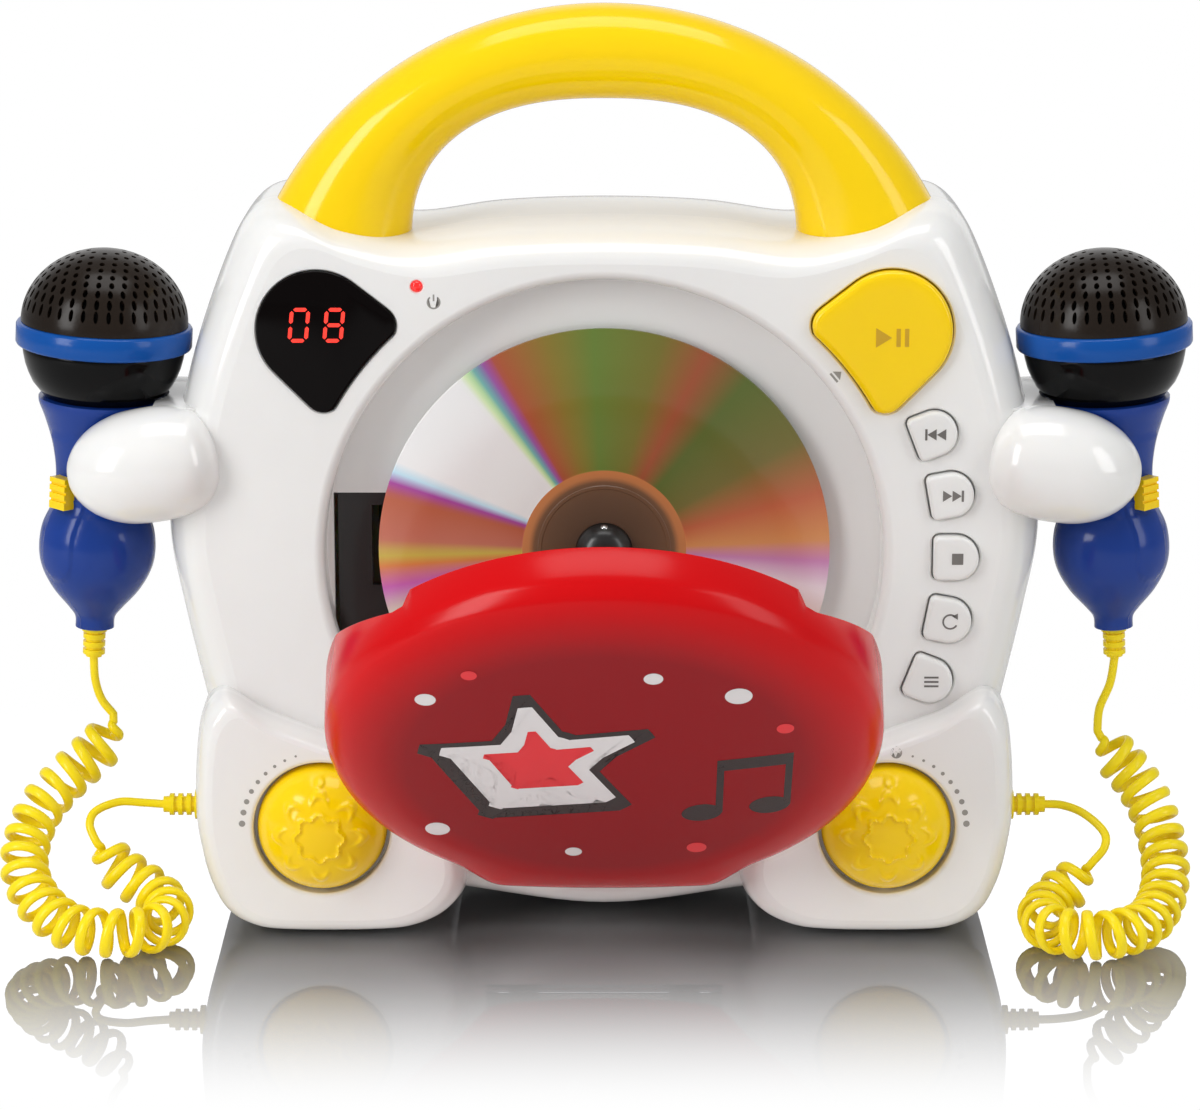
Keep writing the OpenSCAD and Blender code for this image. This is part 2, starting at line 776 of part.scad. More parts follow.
module right_speaker() {
    color(black) at_disc() speaker();
}
module left_speaker() {
    color(black) at_disc() mirror([1, 0, 0]) speaker();
}
module dc_inlet() {
    color(black) at_disc() translate([inlet_place[0], 0, inlet_place[1]]) difference() {
        union() {
            rod_y(4.95, 60, 77);
            box([-6, 52, -5], [6, 62, 5]);
        }
        rod_y(2.75, 66, 80);
    }
}

// ---- Microphones ----
module at_mic() {
    translate([mic_x, mic_y, hand_z])
        rotate([0, -mic_lean, 0])
            children();
}
// Profiles in radius and height above the middle of the hand
mic_rim = [[11.6, -14], [11.8, -6], [13, 1], [15.1, 7.5], [16.7, 11.4], [16.9, 13.4]];
mic_bulb = [[5.2, -50.4], [5.2, -47], [7.4, -44.6], [11.6, -39.6], [14.6, -34], [15.6, -28.6], [15, -22.6],
            [13, -17.8]];
// The switch sits on the front of the handle, turned outwards
switch_turn = 40;
module turned_mic(points) {
    rotate_extrude() polygon(points);
}
module mic_handle() {
    difference() {
        turned_mic(concat([[0, -50.4]], mic_bulb, mic_rim, [[0, 13.4]]));
        rotate([0, 0, switch_turn])
            translate([-3.2, -18, -17.4]) cube([6.4, 9.4, 12]);
        translate([0, 0, -60]) cylinder(r = 3, h = 12);
        translate([0, 0, -44]) cylinder(r1 = 3, r2 = 8.5, h = 58);
    }
}
module mic_cup() {
    difference() {
        turned_mic([[15.8, 13.5], [18.6, 17.2], [20.7, 22], [21.6, 27], [17, 27], [13.5, 16], [8.7, 13.5]]);
    }
}
module mic_band() {
    turned_mic([[17, 27.05], [22.7, 27.05], [23.4, 27.8], [23.4, 32.6], [22.7, 33.3], [20, 33.3]]);
}
module mic_grille() {
    dome = [for (a = [0:6:90]) [22.2 * cos(a), 33.4 + 19.8 * sin(a)]];
    hollow = [for (a = [90:-9:0]) [20 * cos(a), 33.4 + 17.6 * sin(a)]];
    turned_mic(concat(dome, hollow));
}
module mic_switch() {
    rotate([0, 0, switch_turn]) difference() {
        translate([-2.9, -15.4, -15.6]) cube([5.8, 6.6, 8.4]);
        for (z = [-13.6, -11.4, -9.2])
            translate([-4, -16, z]) cube([8, 1.2, 0.7]);
    }
}
module mic_relief() {
    translate([0, 0, -50.4]) mirror([0, 0, 1]) {
        cylinder(r = 3.4, h = 1.2);
        cylinder(r = 2.2, h = 8.4);
        for (i = [0:2])
            translate([0, 0, 1.9 + 2.2 * i]) cylinder(r = 3, h = 1.3);
    }
}
module left_mic() {
    at_disc() mirror([1, 0, 0]) at_mic() children();
}
module right_mic() {
    at_disc() at_mic() children();
}
module left_mic_handle() {
    color(blue) left_mic() mic_handle();
}
module left_mic_cup() {
    color(black) left_mic() mic_cup();
}
module left_mic_band() {
    color(blue) left_mic() mic_band();
}
module left_mic_grille() {
    color(black) left_mic() mic_grille();
}
module left_mic_switch() {
    color(yellow) left_mic() mic_switch();
}
module left_mic_relief() {
    color(yellow) left_mic() mic_relief();
}
module right_mic_handle() {
    color(blue) right_mic() mic_handle();
}
module right_mic_cup() {
    color(black) right_mic() mic_cup();
}
module right_mic_band() {
    color(blue) right_mic() mic_band();
}
module right_mic_grille() {
    color(black) right_mic() mic_grille();
}
module right_mic_switch() {
    color(yellow) right_mic() mic_switch();
}
module right_mic_relief() {
    color(yellow) right_mic() mic_relief();
}

// ---- Cords ----
// Routes, mirrored for the left: from the microphone down to the curls, along the curls, and on to the body
left_top = [[138.61, 15, -33.59], [138.4, 15, -40], [136.8, 15, -45.6], [133.5, 15, -50]];
left_middle = [
    [133.5, 15, -50], [134.6, 14.6, -54.8], [139, 13, -60], [146, 9.5, -66], [152.5, 3, -72.5],
    [155.5, -5, -79.5], [155, -14, -86], [149.5, -23, -92], [140.5, -30, -95.6], [128.5, -33.3, -95.9],
    [119.7, -29.6, -95.9], [116, -20.8, -95.3], [119.7, -12, -93], [128, -8, -88.5], [134, -6, -84],
    [137.5, -3.5, -79.5]
];
left_foot = [
    [137.5, -3.5, -79.5], [139, -1.5, -76], [137.5, 1, -73], [131.5, 3.4, -71.2], [125, 4, -71.6], [119.4, 4, -72]
];
right_top = [[138.61, 15, -33.59], [137.6, 15, -41], [134.9, 15, -48.3], [134.5, 14.6, -55]];
right_middle = [
    [134.5, 14.6, -55], [138, 14, -59.5], [143, 12.5, -65], [147, 9.5, -70.5], [149.8, 5.5, -76.5],
    [151.3, 0, -82.5], [151.3, -7.5, -88.5], [148.8, -16.5, -93.3], [144, -25.5, -95.8], [137, -32.5, -95.9],
    [129, -35, -95.9], [120.2, -31.3, -95.9], [116.5, -22.5, -95.6], [120.2, -13.7, -93.2], [127, -10, -89],
    [131.5, -8, -84.5]
];
right_foot = [
    [131.5, -8, -84.5], [134.8, -6, -81], [134.8, -3, -77.6], [130, 1.5, -74], [124.5, 3.8, -72.3], [119.4, 4, -72]
];
rings_a_curl = 8;
function lengths(p) = [for (i = 0, s = 0; i < len(p); i = i + 1, s = s + norm(end_or(p, i) - p[i - 1])) s];
function along(line, at, s) = [for (k = [0:2]) lookup(s, [for (i = [0:len(line) - 1]) [at[i], line[i][k]]])];
// A direction carried along a line without twisting
function square_to(v, ahead) = unit(v - (v * ahead) * ahead);
function carried(ahead, start) = [
    for (i = 0, v = square_to(start, ahead[0]); i < len(ahead); i = i + 1, v = square_to(v, end_or(ahead, i))) v
];
function curl_points(route, curls) =
    let (line = smooth_line(route, 6), at = lengths(line), total = at[len(at) - 1], n = curls * rings_a_curl)
    let (places = [for (i = [0:n]) cord_d + (total - 2 * cord_d) * i / n])
    let (ahead = [for (s = places) unit(along(line, at, s + 0.5) - along(line, at, s - 0.5))])
    let (side = carried(ahead, [0, 0, 1]))
    concat([line[0]], [
        for (i = [0:n])
            let (r = (curl_d - cord_d) / 2 * min(1, i / rings_a_curl, (n - i) / rings_a_curl))
            let (turn = i * 360 / rings_a_curl)
            along(line, at, places[i]) + r * (cos(turn) * side[i] + sin(turn) * cross(ahead[i], side[i]))
    ], [line[len(line) - 1]]);
function least_gap(p) = min([
    for (i = [0:len(p) - 1]) for (j = [i + rings_a_curl - 2:1:len(p) - 1]) norm(p[i] - p[j])
]) - cord_d;
function run_length(p) = lengths(p)[len(p) - 1];
module tube(points, sides) {
    n = len(points);
    ahead = [for (i = [0:n - 1]) unit(end_or(points, i + 1) - end_or(points, i - 1))];
    side = carried(ahead, [0.3, 1, 0.2]);
    skin([
        for (i = [0:n - 1]) [
            for (k = [0:sides - 1])
                let (turn = 360 * k / sides)
                points[i] + cord_d / 2 * (cos(turn) * side[i] + sin(turn) * cross(ahead[i], side[i]))
        ]
    ]);
}
module cord_reliefs() {
    color(yellow) at_disc()
        for (side = [0, 1])
            mirror([side, 0, 0])
                translate([0, relief_y, relief_z]) {
                    rod_x(2.95, 104.5, 109.6);
                    rod_x(4, 109.5, 110.8);
                    rod_x(2.2, 110.7, 119.4);
                    for (i = [0:2])
                        rod_x(3, 111.9 + 2.3 * i, 113.1 + 2.3 * i);
                }
}
module right_cord() {
    color(yellow) at_disc() {
        tube(smooth_line(right_top, 3), 8);
        tube(smooth_line(right_foot, 3), 8);
    }
}
module left_cord() {
    color(yellow) at_disc() mirror([1, 0, 0]) {
        tube(smooth_line(left_top, 3), 8);
        tube(smooth_line(left_foot, 3), 8);
    }
}
module right_curl() {
    points = curl_points(right_middle, right_curls);
    echo(cord = "right", gap = least_gap(points), curl_length = run_length(points),
         straight = run_length(smooth_line(right_top, 3)) + run_length(smooth_line(right_foot, 3)));
    color(yellow) at_disc() tube(points, 6);
}
module left_curl() {
    points = curl_points(left_middle, left_curls);
    echo(cord = "left", gap = least_gap(points), curl_length = run_length(points),
         straight = run_length(smooth_line(left_top, 3)) + run_length(smooth_line(left_foot, 3)));
    color(yellow) at_disc() mirror([1, 0, 0]) tube(points, 6);
}

front_shell();
rear_shell();
disc_deck();
handle_front();
handle_rear();
left_arm();
right_arm();
display_window();
display_module();
power_led();
key_back();
key_forward();
key_stop();
key_repeat();
key_mode();
play_button();
key_board();
main_board();
volume_pots();
left_knob();
right_knob();
mechanism_chassis();
damper_bushes();
spindle_motor();
turntable();
disc();
pickup_sled();
guide_rods();
sled_motor();
motor_pinion();
drive_gear();
lid_cover();
lid_liner();
hinge_pin();
lid_switch();
battery_door();
battery_box();
battery_contacts();
left_speaker();
right_speaker();
dc_inlet();
shell_screws();
rubber_feet();
left_mic_handle();
left_mic_cup();
left_mic_band();
left_mic_grille();
left_mic_switch();
left_mic_relief();
right_mic_handle();
right_mic_cup();
right_mic_band();
right_mic_grille();
right_mic_switch();
right_mic_relief();
cord_reliefs();
left_cord();
right_cord();
left_curl();
right_curl();
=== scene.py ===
"""A children's karaoke disc player: white case, yellow handle, open red lid and two corded microphones."""
import math

import bmesh
import bpy
import numpy as np
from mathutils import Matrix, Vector
from mathutils.bvhtree import BVHTree


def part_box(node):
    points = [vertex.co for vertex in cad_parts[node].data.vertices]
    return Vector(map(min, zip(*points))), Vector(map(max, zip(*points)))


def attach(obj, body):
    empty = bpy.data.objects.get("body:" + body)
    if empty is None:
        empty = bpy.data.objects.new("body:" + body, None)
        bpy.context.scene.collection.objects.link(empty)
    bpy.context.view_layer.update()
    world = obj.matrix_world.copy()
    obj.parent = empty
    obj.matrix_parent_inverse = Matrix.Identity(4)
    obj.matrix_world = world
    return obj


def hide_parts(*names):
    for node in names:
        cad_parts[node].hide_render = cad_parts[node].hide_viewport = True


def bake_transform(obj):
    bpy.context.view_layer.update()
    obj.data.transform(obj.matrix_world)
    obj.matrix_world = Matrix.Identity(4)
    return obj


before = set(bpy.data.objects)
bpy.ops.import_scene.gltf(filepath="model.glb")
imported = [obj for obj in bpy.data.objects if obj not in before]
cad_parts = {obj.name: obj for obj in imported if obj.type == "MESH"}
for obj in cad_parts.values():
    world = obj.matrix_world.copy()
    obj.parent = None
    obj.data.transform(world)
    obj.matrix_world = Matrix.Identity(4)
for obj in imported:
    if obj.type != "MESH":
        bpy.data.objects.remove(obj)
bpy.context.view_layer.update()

# ---- Camera, floor and lamps ----
# The camera stands 1.1 m from the disc and looks down on it at 14 degrees. The floor is a pale glossy sheet
# that runs out of sight, lit by a soft box on each side, one overhead and a pale room.
MM = 0.001
low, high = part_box("disc")
disc_middle = Vector([(low[k] + high[k]) / 2 for k in range(3)])
photo_w = 1200
photo_px_focal = 4134
camera_tilt = math.radians(14)
camera_data = bpy.data.cameras.new("camera")
camera = bpy.data.objects.new("camera", camera_data)
bpy.context.scene.collection.objects.link(camera)
camera.location = disc_middle + 1.1 * Vector((0, -math.cos(camera_tilt), math.sin(camera_tilt)))
camera.rotation_euler = (math.pi / 2 - camera_tilt, 0, 0)
camera_data.sensor_width = 36
camera_data.lens = 36 * photo_px_focal / photo_w
camera_data.shift_x = -4.2 / photo_w
camera_data.shift_y = -5 / photo_w
bpy.context.scene.camera = camera
bpy.context.scene.view_settings.view_transform = "Standard"


def nodes_of(name):
    """A new material: its node maker, its link maker and its output node."""
    material = bpy.data.materials.new(name)
    material.use_nodes = True
    tree = material.node_tree
    tree.nodes.clear()
    output = tree.nodes.new("ShaderNodeOutputMaterial")
    return material, tree.nodes.new, tree.links.new, output


def mesh_object(name, points, faces, material):
    mesh = bpy.data.meshes.new(name)
    mesh.from_pydata([tuple(p) for p in points], [], [tuple(f) for f in faces])
    mesh.materials.append(material)
    obj = bpy.data.objects.new(name, mesh)
    bpy.context.scene.collection.objects.link(obj)
    return obj


floor_paint, add, link, output = nodes_of("pale_floor")
sheet = add("ShaderNodeBsdfDiffuse")
sheet.inputs["Color"].default_value = (0.82, 0.82, 0.82, 1)
white_glow = add("ShaderNodeEmission")
white_glow.inputs["Color"].default_value = (1, 1, 1, 1)
seen = add("ShaderNodeLightPath")
paper = add("ShaderNodeMixShader")
link(seen.outputs["Is Camera Ray"], paper.inputs[0])
link(sheet.outputs[0], paper.inputs[1])
link(white_glow.outputs[0], paper.inputs[2])
polish = add("ShaderNodeBsdfGlossy")
polish.inputs["Color"].default_value = (0.2, 0.2, 0.205, 1)
polish.inputs["Roughness"].default_value = 0.0
under_polish = add("ShaderNodeBsdfDiffuse")
under_polish.inputs["Color"].default_value = (0.07, 0.07, 0.07, 1)
polished = add("ShaderNodeAddShader")
link(polish.outputs[0], polished.inputs[0])
link(under_polish.outputs[0], polished.inputs[1])
where = add("ShaderNodeTexCoord")
parts = add("ShaderNodeSeparateXYZ")
link(where.outputs["Object"], parts.inputs[0])


def number(kind, first, second):
    """A math node whose inputs are links or constants."""
    node = add("ShaderNodeMath")
    node.operation = kind
    for socket, value in zip(node.inputs, (first, second)):
        if isinstance(value, float):
            socket.default_value = value
        else:
            link(value, socket)
    return node.outputs[0]


# How far a point lies outside the object's feet: the mirror image fades out over that distance
sideways = number("SUBTRACT", number("ABSOLUTE", parts.outputs["X"], 0.0), 0.12)
ahead = number("MULTIPLY", parts.outputs["Y"], -1.0)
beyond = number("SUBTRACT", parts.outputs["Y"], 0.1)
outside = number("MAXIMUM", number("MAXIMUM", sideways, ahead), beyond)
fade = add("ShaderNodeMapRange")
fade.interpolation_type = "SMOOTHSTEP"
fade.inputs["From Min"].default_value = 0.0
fade.inputs["From Max"].default_value = 0.125
fade.inputs["To Min"].default_value = 1.0
fade.inputs["To Max"].default_value = 0.0
link(outside, fade.inputs["Value"])
surface = add("ShaderNodeMixShader")
link(number("MULTIPLY", fade.outputs["Result"], seen.outputs["Is Camera Ray"]), surface.inputs[0])
link(paper.outputs[0], surface.inputs[1])
link(polished.outputs[0], surface.inputs[2])
link(surface.outputs[0], output.inputs["Surface"])
floor = mesh_object("floor", [(-9, -6, 0), (9, -6, 0), (9, 12, 0), (-9, 12, 0)], [(0, 1, 2, 3)], floor_paint)

room = bpy.data.worlds.new("pale_room")
bpy.context.scene.world = room
room.use_nodes = True
backdrop = room.node_tree.nodes["Background"]
backdrop.inputs["Color"].default_value = (1, 1, 1, 1)
add, link = room.node_tree.nodes.new, room.node_tree.links.new
ray = add("ShaderNodeLightPath")
towards = add("ShaderNodeTexCoord")
heading = add("ShaderNodeSeparateXYZ")
link(towards.outputs["Generated"], heading.inputs[0])
behind = add("ShaderNodeMapRange")
behind.inputs["From Min"].default_value = 0.6
behind.inputs["From Max"].default_value = 0.8
behind.inputs["To Min"].default_value = 0.0
behind.inputs["To Max"].default_value = 0.54
link(heading.outputs["Y"], behind.inputs["Value"])
# The room is dim and its backdrop white. The floor's sharp mirror sees a room bright enough to look white.
in_gloss = number("MULTIPLY", behind.outputs["Result"], ray.outputs["Is Glossy Ray"])
in_floor = number("MULTIPLY", ray.outputs["Is Singular Ray"], 4.25)
room_light = number("ADD", number("ADD", in_gloss, in_floor), 0.38)
seen_white = number("MAXIMUM", ray.outputs["Is Camera Ray"], ray.outputs["Is Transmission Ray"])
link(number("MAXIMUM", room_light, seen_white), backdrop.inputs["Strength"])


def soft_box(name, place, width, height, watts):
    lamp = bpy.data.lights.new(name, "AREA")
    lamp.shape = "RECTANGLE"
    lamp.size = width
    lamp.size_y = height
    lamp.energy = watts
    obj = bpy.data.objects.new(name, lamp)
    bpy.context.scene.collection.objects.link(obj)
    obj.location = place
    obj.rotation_euler = (Vector(place) - Vector((0, 0.02, 0.12))).to_track_quat("Z", "Y").to_euler()


soft_box("left_box", (-0.95, -0.75, 0.6), 0.45, 0.9, 8.6)
soft_box("right_box", (1.0, -0.6, 0.55), 0.4, 0.9, 3.6)
soft_box("top_box", (0.0, -0.1, 1.3), 0.9, 0.6, 5.4)


# ---- Microphone cords ----
# Each cord is a flat flexible lead, wound into curls when it was made and dipped in soft glossy yellow
# vinyl. It runs from the microphone's tail down beside the case, rests on the floor and enters the side of
# the case.
def unit(v):
    v = np.asarray(v, float)
    return v / np.linalg.norm(v, axis=-1, keepdims=True)


def smooth_line(points, steps):
    p = np.asarray(points, float)
    p = np.vstack([p[:1], p, p[-1:]])
    out = []
    for i in range(1, len(p) - 2):
        a, b, c, d = p[i - 1:i + 3]
        for t in np.arange(steps) / steps:
            out.append(0.5 * (2 * b + (c - a) * t + (2 * a - 5 * b + 4 * c - d) * t ** 2
                              + (3 * b - a - 3 * c + d) * t ** 3))
    return np.array(out + [p[-1]])


def run_lengths(line):
    return np.concatenate([[0], np.cumsum(np.linalg.norm(np.diff(line, axis=0), axis=1))])


def along(line, at, s):
    return np.stack([np.interp(s, at, line[:, k]) for k in range(3)], axis=-1)


def carried(ahead, start):
    """A direction carried along a line without twisting."""
    out = []
    v = np.asarray(start, float)
    for a in ahead:
        v = unit(v - np.dot(v, a) * a)
        out.append(v)
    return np.array(out)


def at_disc(points, side=1):
    """Millimetres from the disc's middle, mirrored for the left side, as metres in the frame."""
    return np.asarray(points, float) * [side * MM, MM, MM] + np.array(disc_middle)


def tidied(obj, sharp=35, weighted=False):
    """Outward normals, smooth shading and edges left sharp past an angle in degrees."""
    mesh = bmesh.new()
    mesh.from_mesh(obj.data)
    bmesh.ops.recalc_face_normals(mesh, faces=mesh.faces)
    for face in mesh.faces:
        face.smooth = True
    for edge in mesh.edges:
        edge.smooth = len(edge.link_faces) != 2 or edge.calc_face_angle(0) < math.radians(sharp)
    mesh.to_mesh(obj.data)
    mesh.free()
    if weighted:
        shading = obj.modifiers.new("shading", "WEIGHTED_NORMAL")
        shading.keep_sharp = True
    return obj


def skinned(loops, closed=False):
    """Points and faces of a skin over loops of the same number of points, with a cap at each end."""
    m, n = len(loops), len(loops[0])
    j = np.arange(n)
    k = (j + 1) % n
    faces = []
    for i in range(m if closed else m - 1):
        a, b = i * n, (i + 1) % m * n
        faces += [(a + q, b + q, b + r, a + r) for q, r in zip(j, k)]
    if not closed:
        faces += [tuple(range(n)), tuple(range((m - 1) * n + n - 1, (m - 1) * n - 1, -1))]
    return np.concatenate(loops), faces


def moulded(name, colour, roughness, coat=0.0, mottle=0.03, peel=0.012, grain=900.0, glow=0.0, shine=0.5):
    """Moulded plastic: a faint cloudiness in colour and gloss, and the fine ripple of the tool's surface."""
    material, add, link, output = nodes_of(name)
    plastic = add("ShaderNodeBsdfPrincipled")
    plastic.inputs["Specular IOR Level"].default_value = shine
    plastic.inputs["Coat Weight"].default_value = coat
    plastic.inputs["Coat Roughness"].default_value = 0.06
    plastic.inputs["Subsurface Weight"].default_value = glow
    plastic.inputs["Subsurface Radius"].default_value = (0.004, 0.003, 0.002)
    plastic.inputs["Subsurface Scale"].default_value = 1.0
    where = add("ShaderNodeTexCoord")
    cloud = add("ShaderNodeTexNoise")
    cloud.inputs["Scale"].default_value = 24
    cloud.inputs["Detail"].default_value = 3
    link(where.outputs["Object"], cloud.inputs["Vector"])
    shade = add("ShaderNodeValToRGB")
    shade.color_ramp.elements[0].position = 0.3
    shade.color_ramp.elements[1].position = 0.7
    shade.color_ramp.elements[0].color = (*[c * (1 - mottle) for c in colour], 1)
    shade.color_ramp.elements[1].color = (*[min(1, c * (1 + mottle)) for c in colour], 1)
    link(cloud.outputs["Fac"], shade.inputs["Fac"])
    link(shade.outputs["Color"], plastic.inputs["Base Color"])
    gloss = add("ShaderNodeMapRange")
    gloss.inputs["To Min"].default_value = roughness * 0.85
    gloss.inputs["To Max"].default_value = roughness * 1.2
    link(cloud.outputs["Fac"], gloss.inputs["Value"])
    link(gloss.outputs["Result"], plastic.inputs["Roughness"])
    ripple = add("ShaderNodeTexNoise")
    ripple.inputs["Scale"].default_value = grain
    ripple.inputs["Detail"].default_value = 2
    link(where.outputs["Object"], ripple.inputs["Vector"])
    bump = add("ShaderNodeBump")
    bump.inputs["Strength"].default_value = peel
    bump.inputs["Distance"].default_value = 0.0003
    link(ripple.outputs["Fac"], bump.inputs["Height"])
    link(bump.outputs["Normal"], plastic.inputs["Normal"])
    link(plastic.outputs[0], output.inputs["Surface"])
    return material


left_top = [[138.61, 15, -33.59], [138.4, 15, -40], [136.8, 15, -45.6], [133.5, 15, -50]]
left_middle = [
    [133.5, 15, -50], [134.6, 14.6, -54.8], [139, 13, -60], [146, 9.5, -66], [152.5, 3, -72.5],
    [155.5, -5, -79.5], [155, -14, -86], [149.5, -23, -92], [140.5, -30, -95.6], [128.5, -33.3, -95.9],
    [119.7, -29.6, -95.9], [116, -20.8, -95.3], [119.7, -12, -93], [128, -8, -88.5], [134, -6, -84],
    [137.5, -3.5, -79.5],
]
left_foot = [[137.5, -3.5, -79.5], [139, -1.5, -76], [137.5, 1, -73], [131.5, 3.4, -71.2], [125, 4, -71.6],
             [119.4, 4, -72]]
right_top = [[138.61, 15, -33.59], [137.6, 15, -41], [134.9, 15, -48.3], [134.5, 14.6, -55]]
right_middle = [
    [134.5, 14.6, -55], [138, 14, -59.5], [143, 12.5, -65], [147, 9.5, -70.5], [149.8, 5.5, -76.5],
    [151.3, 0, -82.5], [151.3, -7.5, -88.5], [148.8, -16.5, -93.3], [144, -25.5, -95.8], [137, -32.5, -95.9],
    [129, -35, -95.9], [120.2, -31.3, -95.9], [116.5, -22.5, -95.6], [120.2, -13.7, -93.2], [127, -10, -89],
    [131.5, -8, -84.5],
]
right_foot = [[131.5, -8, -84.5], [134.8, -6, -81], [134.8, -3, -77.6], [130, 1.5, -74], [124.5, 3.8, -72.3],
              [119.4, 4, -72]]
curls = 24
curl_r = 5.65
cord_wide = 3.0
cord_thick = 2.0
cord_round = 2.3
rings_a_curl = 24
sides = 12
cord_vinyl = moulded("cord_vinyl", (1.0, 0.76, 0.004), 0.3, coat=0.1, mottle=0.04, peel=0.05, grain=700,
                     glow=0.05, shine=0.3)


def curly_cord(name, side, top, middle, foot):
    route = smooth_line(middle, 12)
    at = run_lengths(route)
    n = curls * rings_a_curl
    i = np.arange(n + 1)
    s = 2 + (at[-1] - 4) * i / n
    centre = along(route, at, s)
    ahead = unit(along(route, at, s + 0.5) - along(route, at, s - 0.5))
    across = carried(ahead, (0, 0, 1))
    turn = (2 * math.pi / rings_a_curl * i)[:, None]
    outward = np.cos(turn) * across + np.sin(turn) * np.cross(ahead, across)
    grown = np.minimum(1, np.minimum(i, n - i) / rings_a_curl)[:, None]
    curl = centre + curl_r * grown * outward
    first = smooth_line(top, 8)[:-1]
    last = smooth_line(foot, 8)[1:]
    line = np.vstack([first, curl, last])
    flat = np.concatenate([np.zeros(len(first)), grown[:, 0], np.zeros(len(last))])[:, None]
    tangent = unit(np.gradient(line, axis=0))
    before = carried(tangent[:len(first)][::-1], outward[0])[::-1]
    after = carried(tangent[len(first) + n + 1:], outward[-1])
    lift = np.vstack([before, outward, after])
    lift = unit(lift - np.sum(lift * tangent, axis=1, keepdims=True) * tangent)
    width = np.cross(tangent, lift)
    half_wide = (cord_round + (cord_wide - cord_round) * flat) / 2
    half_thick = (cord_round + (cord_thick - cord_round) * flat) / 2
    loops = []
    for p, w, t, a, b in zip(line, width, lift, half_wide, half_thick):
        angle = 2 * math.pi * np.arange(sides) / sides
        loops.append(p + a * np.cos(angle)[:, None] * w + b * np.sin(angle)[:, None] * t)
    points, faces = skinned(loops)
    cord = tidied(mesh_object(name, at_disc(points, side), faces, cord_vinyl), sharp=60)
    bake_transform(cord)
    return cord


left_lead = curly_cord("left_microphone_cord", -1, left_top, left_middle, left_foot)
right_lead = curly_cord("right_microphone_cord", 1, right_top, right_middle, right_foot)
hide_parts("left_cord", "left_curl")
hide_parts("right_cord", "right_curl")


# ---- Case: front moulding ----
# One white gloss moulding with the panel, the leg pods, the mouth of the well and the openings for the
# keys. It meets the rear moulding at a seam round the case and is held by six screws from behind.
panel_y = -8
seam_y = 18
mouth_r = 74
torso_half = [
    [0, 87.5], [28, 86.5], [52, 83.5], [70, 87], [84, 92], [93, 89.5], [100, 77.5], [109, 52], [115, 25],
    [116.5, 4], [113, -17], [108, -40], [103, -62], [92, -80], [72, -90.5], [40, -95.5], [0, -100.5],
]
torso_middle = np.array([0, -5])
pod_outline = [
    [60, -53.5], [76, -47], [90, -41.5], [100.6, -35.5], [106.4, -40.5], [108.6, -51], [109.4, -68],
    [108, -80], [105.6, -89], [101.5, -96.5], [94.5, -100.8], [85, -102.2], [62, -102.2], [50, -100.8],
    [41, -96], [36.5, -88], [38.5, -77], [48, -64],
]
pod_middle = np.array([75, -71])
torso_front = [[-8, 0.9], [-7, 0.93], [-4, 0.96], [1.5, 0.985], [9, 0.997], [18, 1]]
torso_front_hollow = [[18, 0.977], [9, 0.974], [2, 0.962], [-3, 0.935], [-5.5, 0.9]]
pod_front = [[-19, 0.84], [-18, 0.91], [-15, 0.965], [-11, 0.99], [-6, 1], [18, 1]]
pod_front_hollow = [[18, 0.935], [-3, 0.935], [-9, 0.925], [-12, 0.89]]


def smooth_loop(points, steps):
    p = np.asarray(points, float)
    return smooth_line(np.vstack([p[-1:], p, p[:2]]), steps)[steps:-steps - 1]


def case_loops(outline, middle, rings, smooth=6, mirror=False):
    """The outline at each depth and scale of a smoothed profile."""
    profile = smooth_line(rings, smooth)
    loops = []
    for depth, scale in profile:
        flat = middle + (outline - middle) * scale
        loops.append(np.column_stack([-flat[:, 0] if mirror else flat[:, 0], np.full(len(flat), depth),
                                      flat[:, 1]]))
    return loops


torso_outline = smooth_loop(torso_half + [[-x, z] for x, z in torso_half[-2:0:-1]], 9)
leg_outline = smooth_loop(pod_outline, 9)
case_white = moulded("case_white", (0.86, 0.855, 0.84), 0.16, coat=0.35, mottle=0.012, peel=0.03, grain=420,
                     glow=0.06)


def solid(name, loops, material, sharp=35):
    points, faces = skinned([np.asarray(loop, float) for loop in loops])
    return tidied(mesh_object(name, at_disc(points), faces, material), sharp)


def carved(obj, tool, operation="DIFFERENCE"):
    """Cuts or joins one closed form with another, which is used up."""
    step = obj.modifiers.new("step", "BOOLEAN")
    step.operation = operation
    step.solver = "EXACT"
    step.object = tool
    bpy.context.view_layer.update()
    result = bpy.data.meshes.new_from_object(obj.evaluated_get(bpy.context.evaluated_depsgraph_get()))
    obj.modifiers.clear()
    obj.data = result
    bpy.data.objects.remove(tool)
    return obj


def joined(name, objects):
    """Several separate forms as one object."""
    mesh = bmesh.new()
    for obj in objects:
        mesh.from_mesh(obj.data)
    result = bpy.data.meshes.new(name)
    mesh.to_mesh(result)
    mesh.free()
    result.materials.append(objects[0].data.materials[0])
    for obj in objects:
        bpy.data.objects.remove(obj)
    whole = bpy.data.objects.new(name, result)
    bpy.context.scene.collection.objects.link(whole)
    return whole


def turned_y(name, profile, material, x=0.0, z=0.0, steps=96, sharp=35):
    """A profile of radius and depth turned round an axis that runs front to rear."""
    loops = []
    angle = -2 * math.pi * np.arange(steps) / steps
    for r, y in profile:
        r = max(r, 0.001)
        loops.append(np.column_stack([x + r * np.cos(angle), np.full(steps, y), z + r * np.sin(angle)]))
    return solid(name, loops, material, sharp)


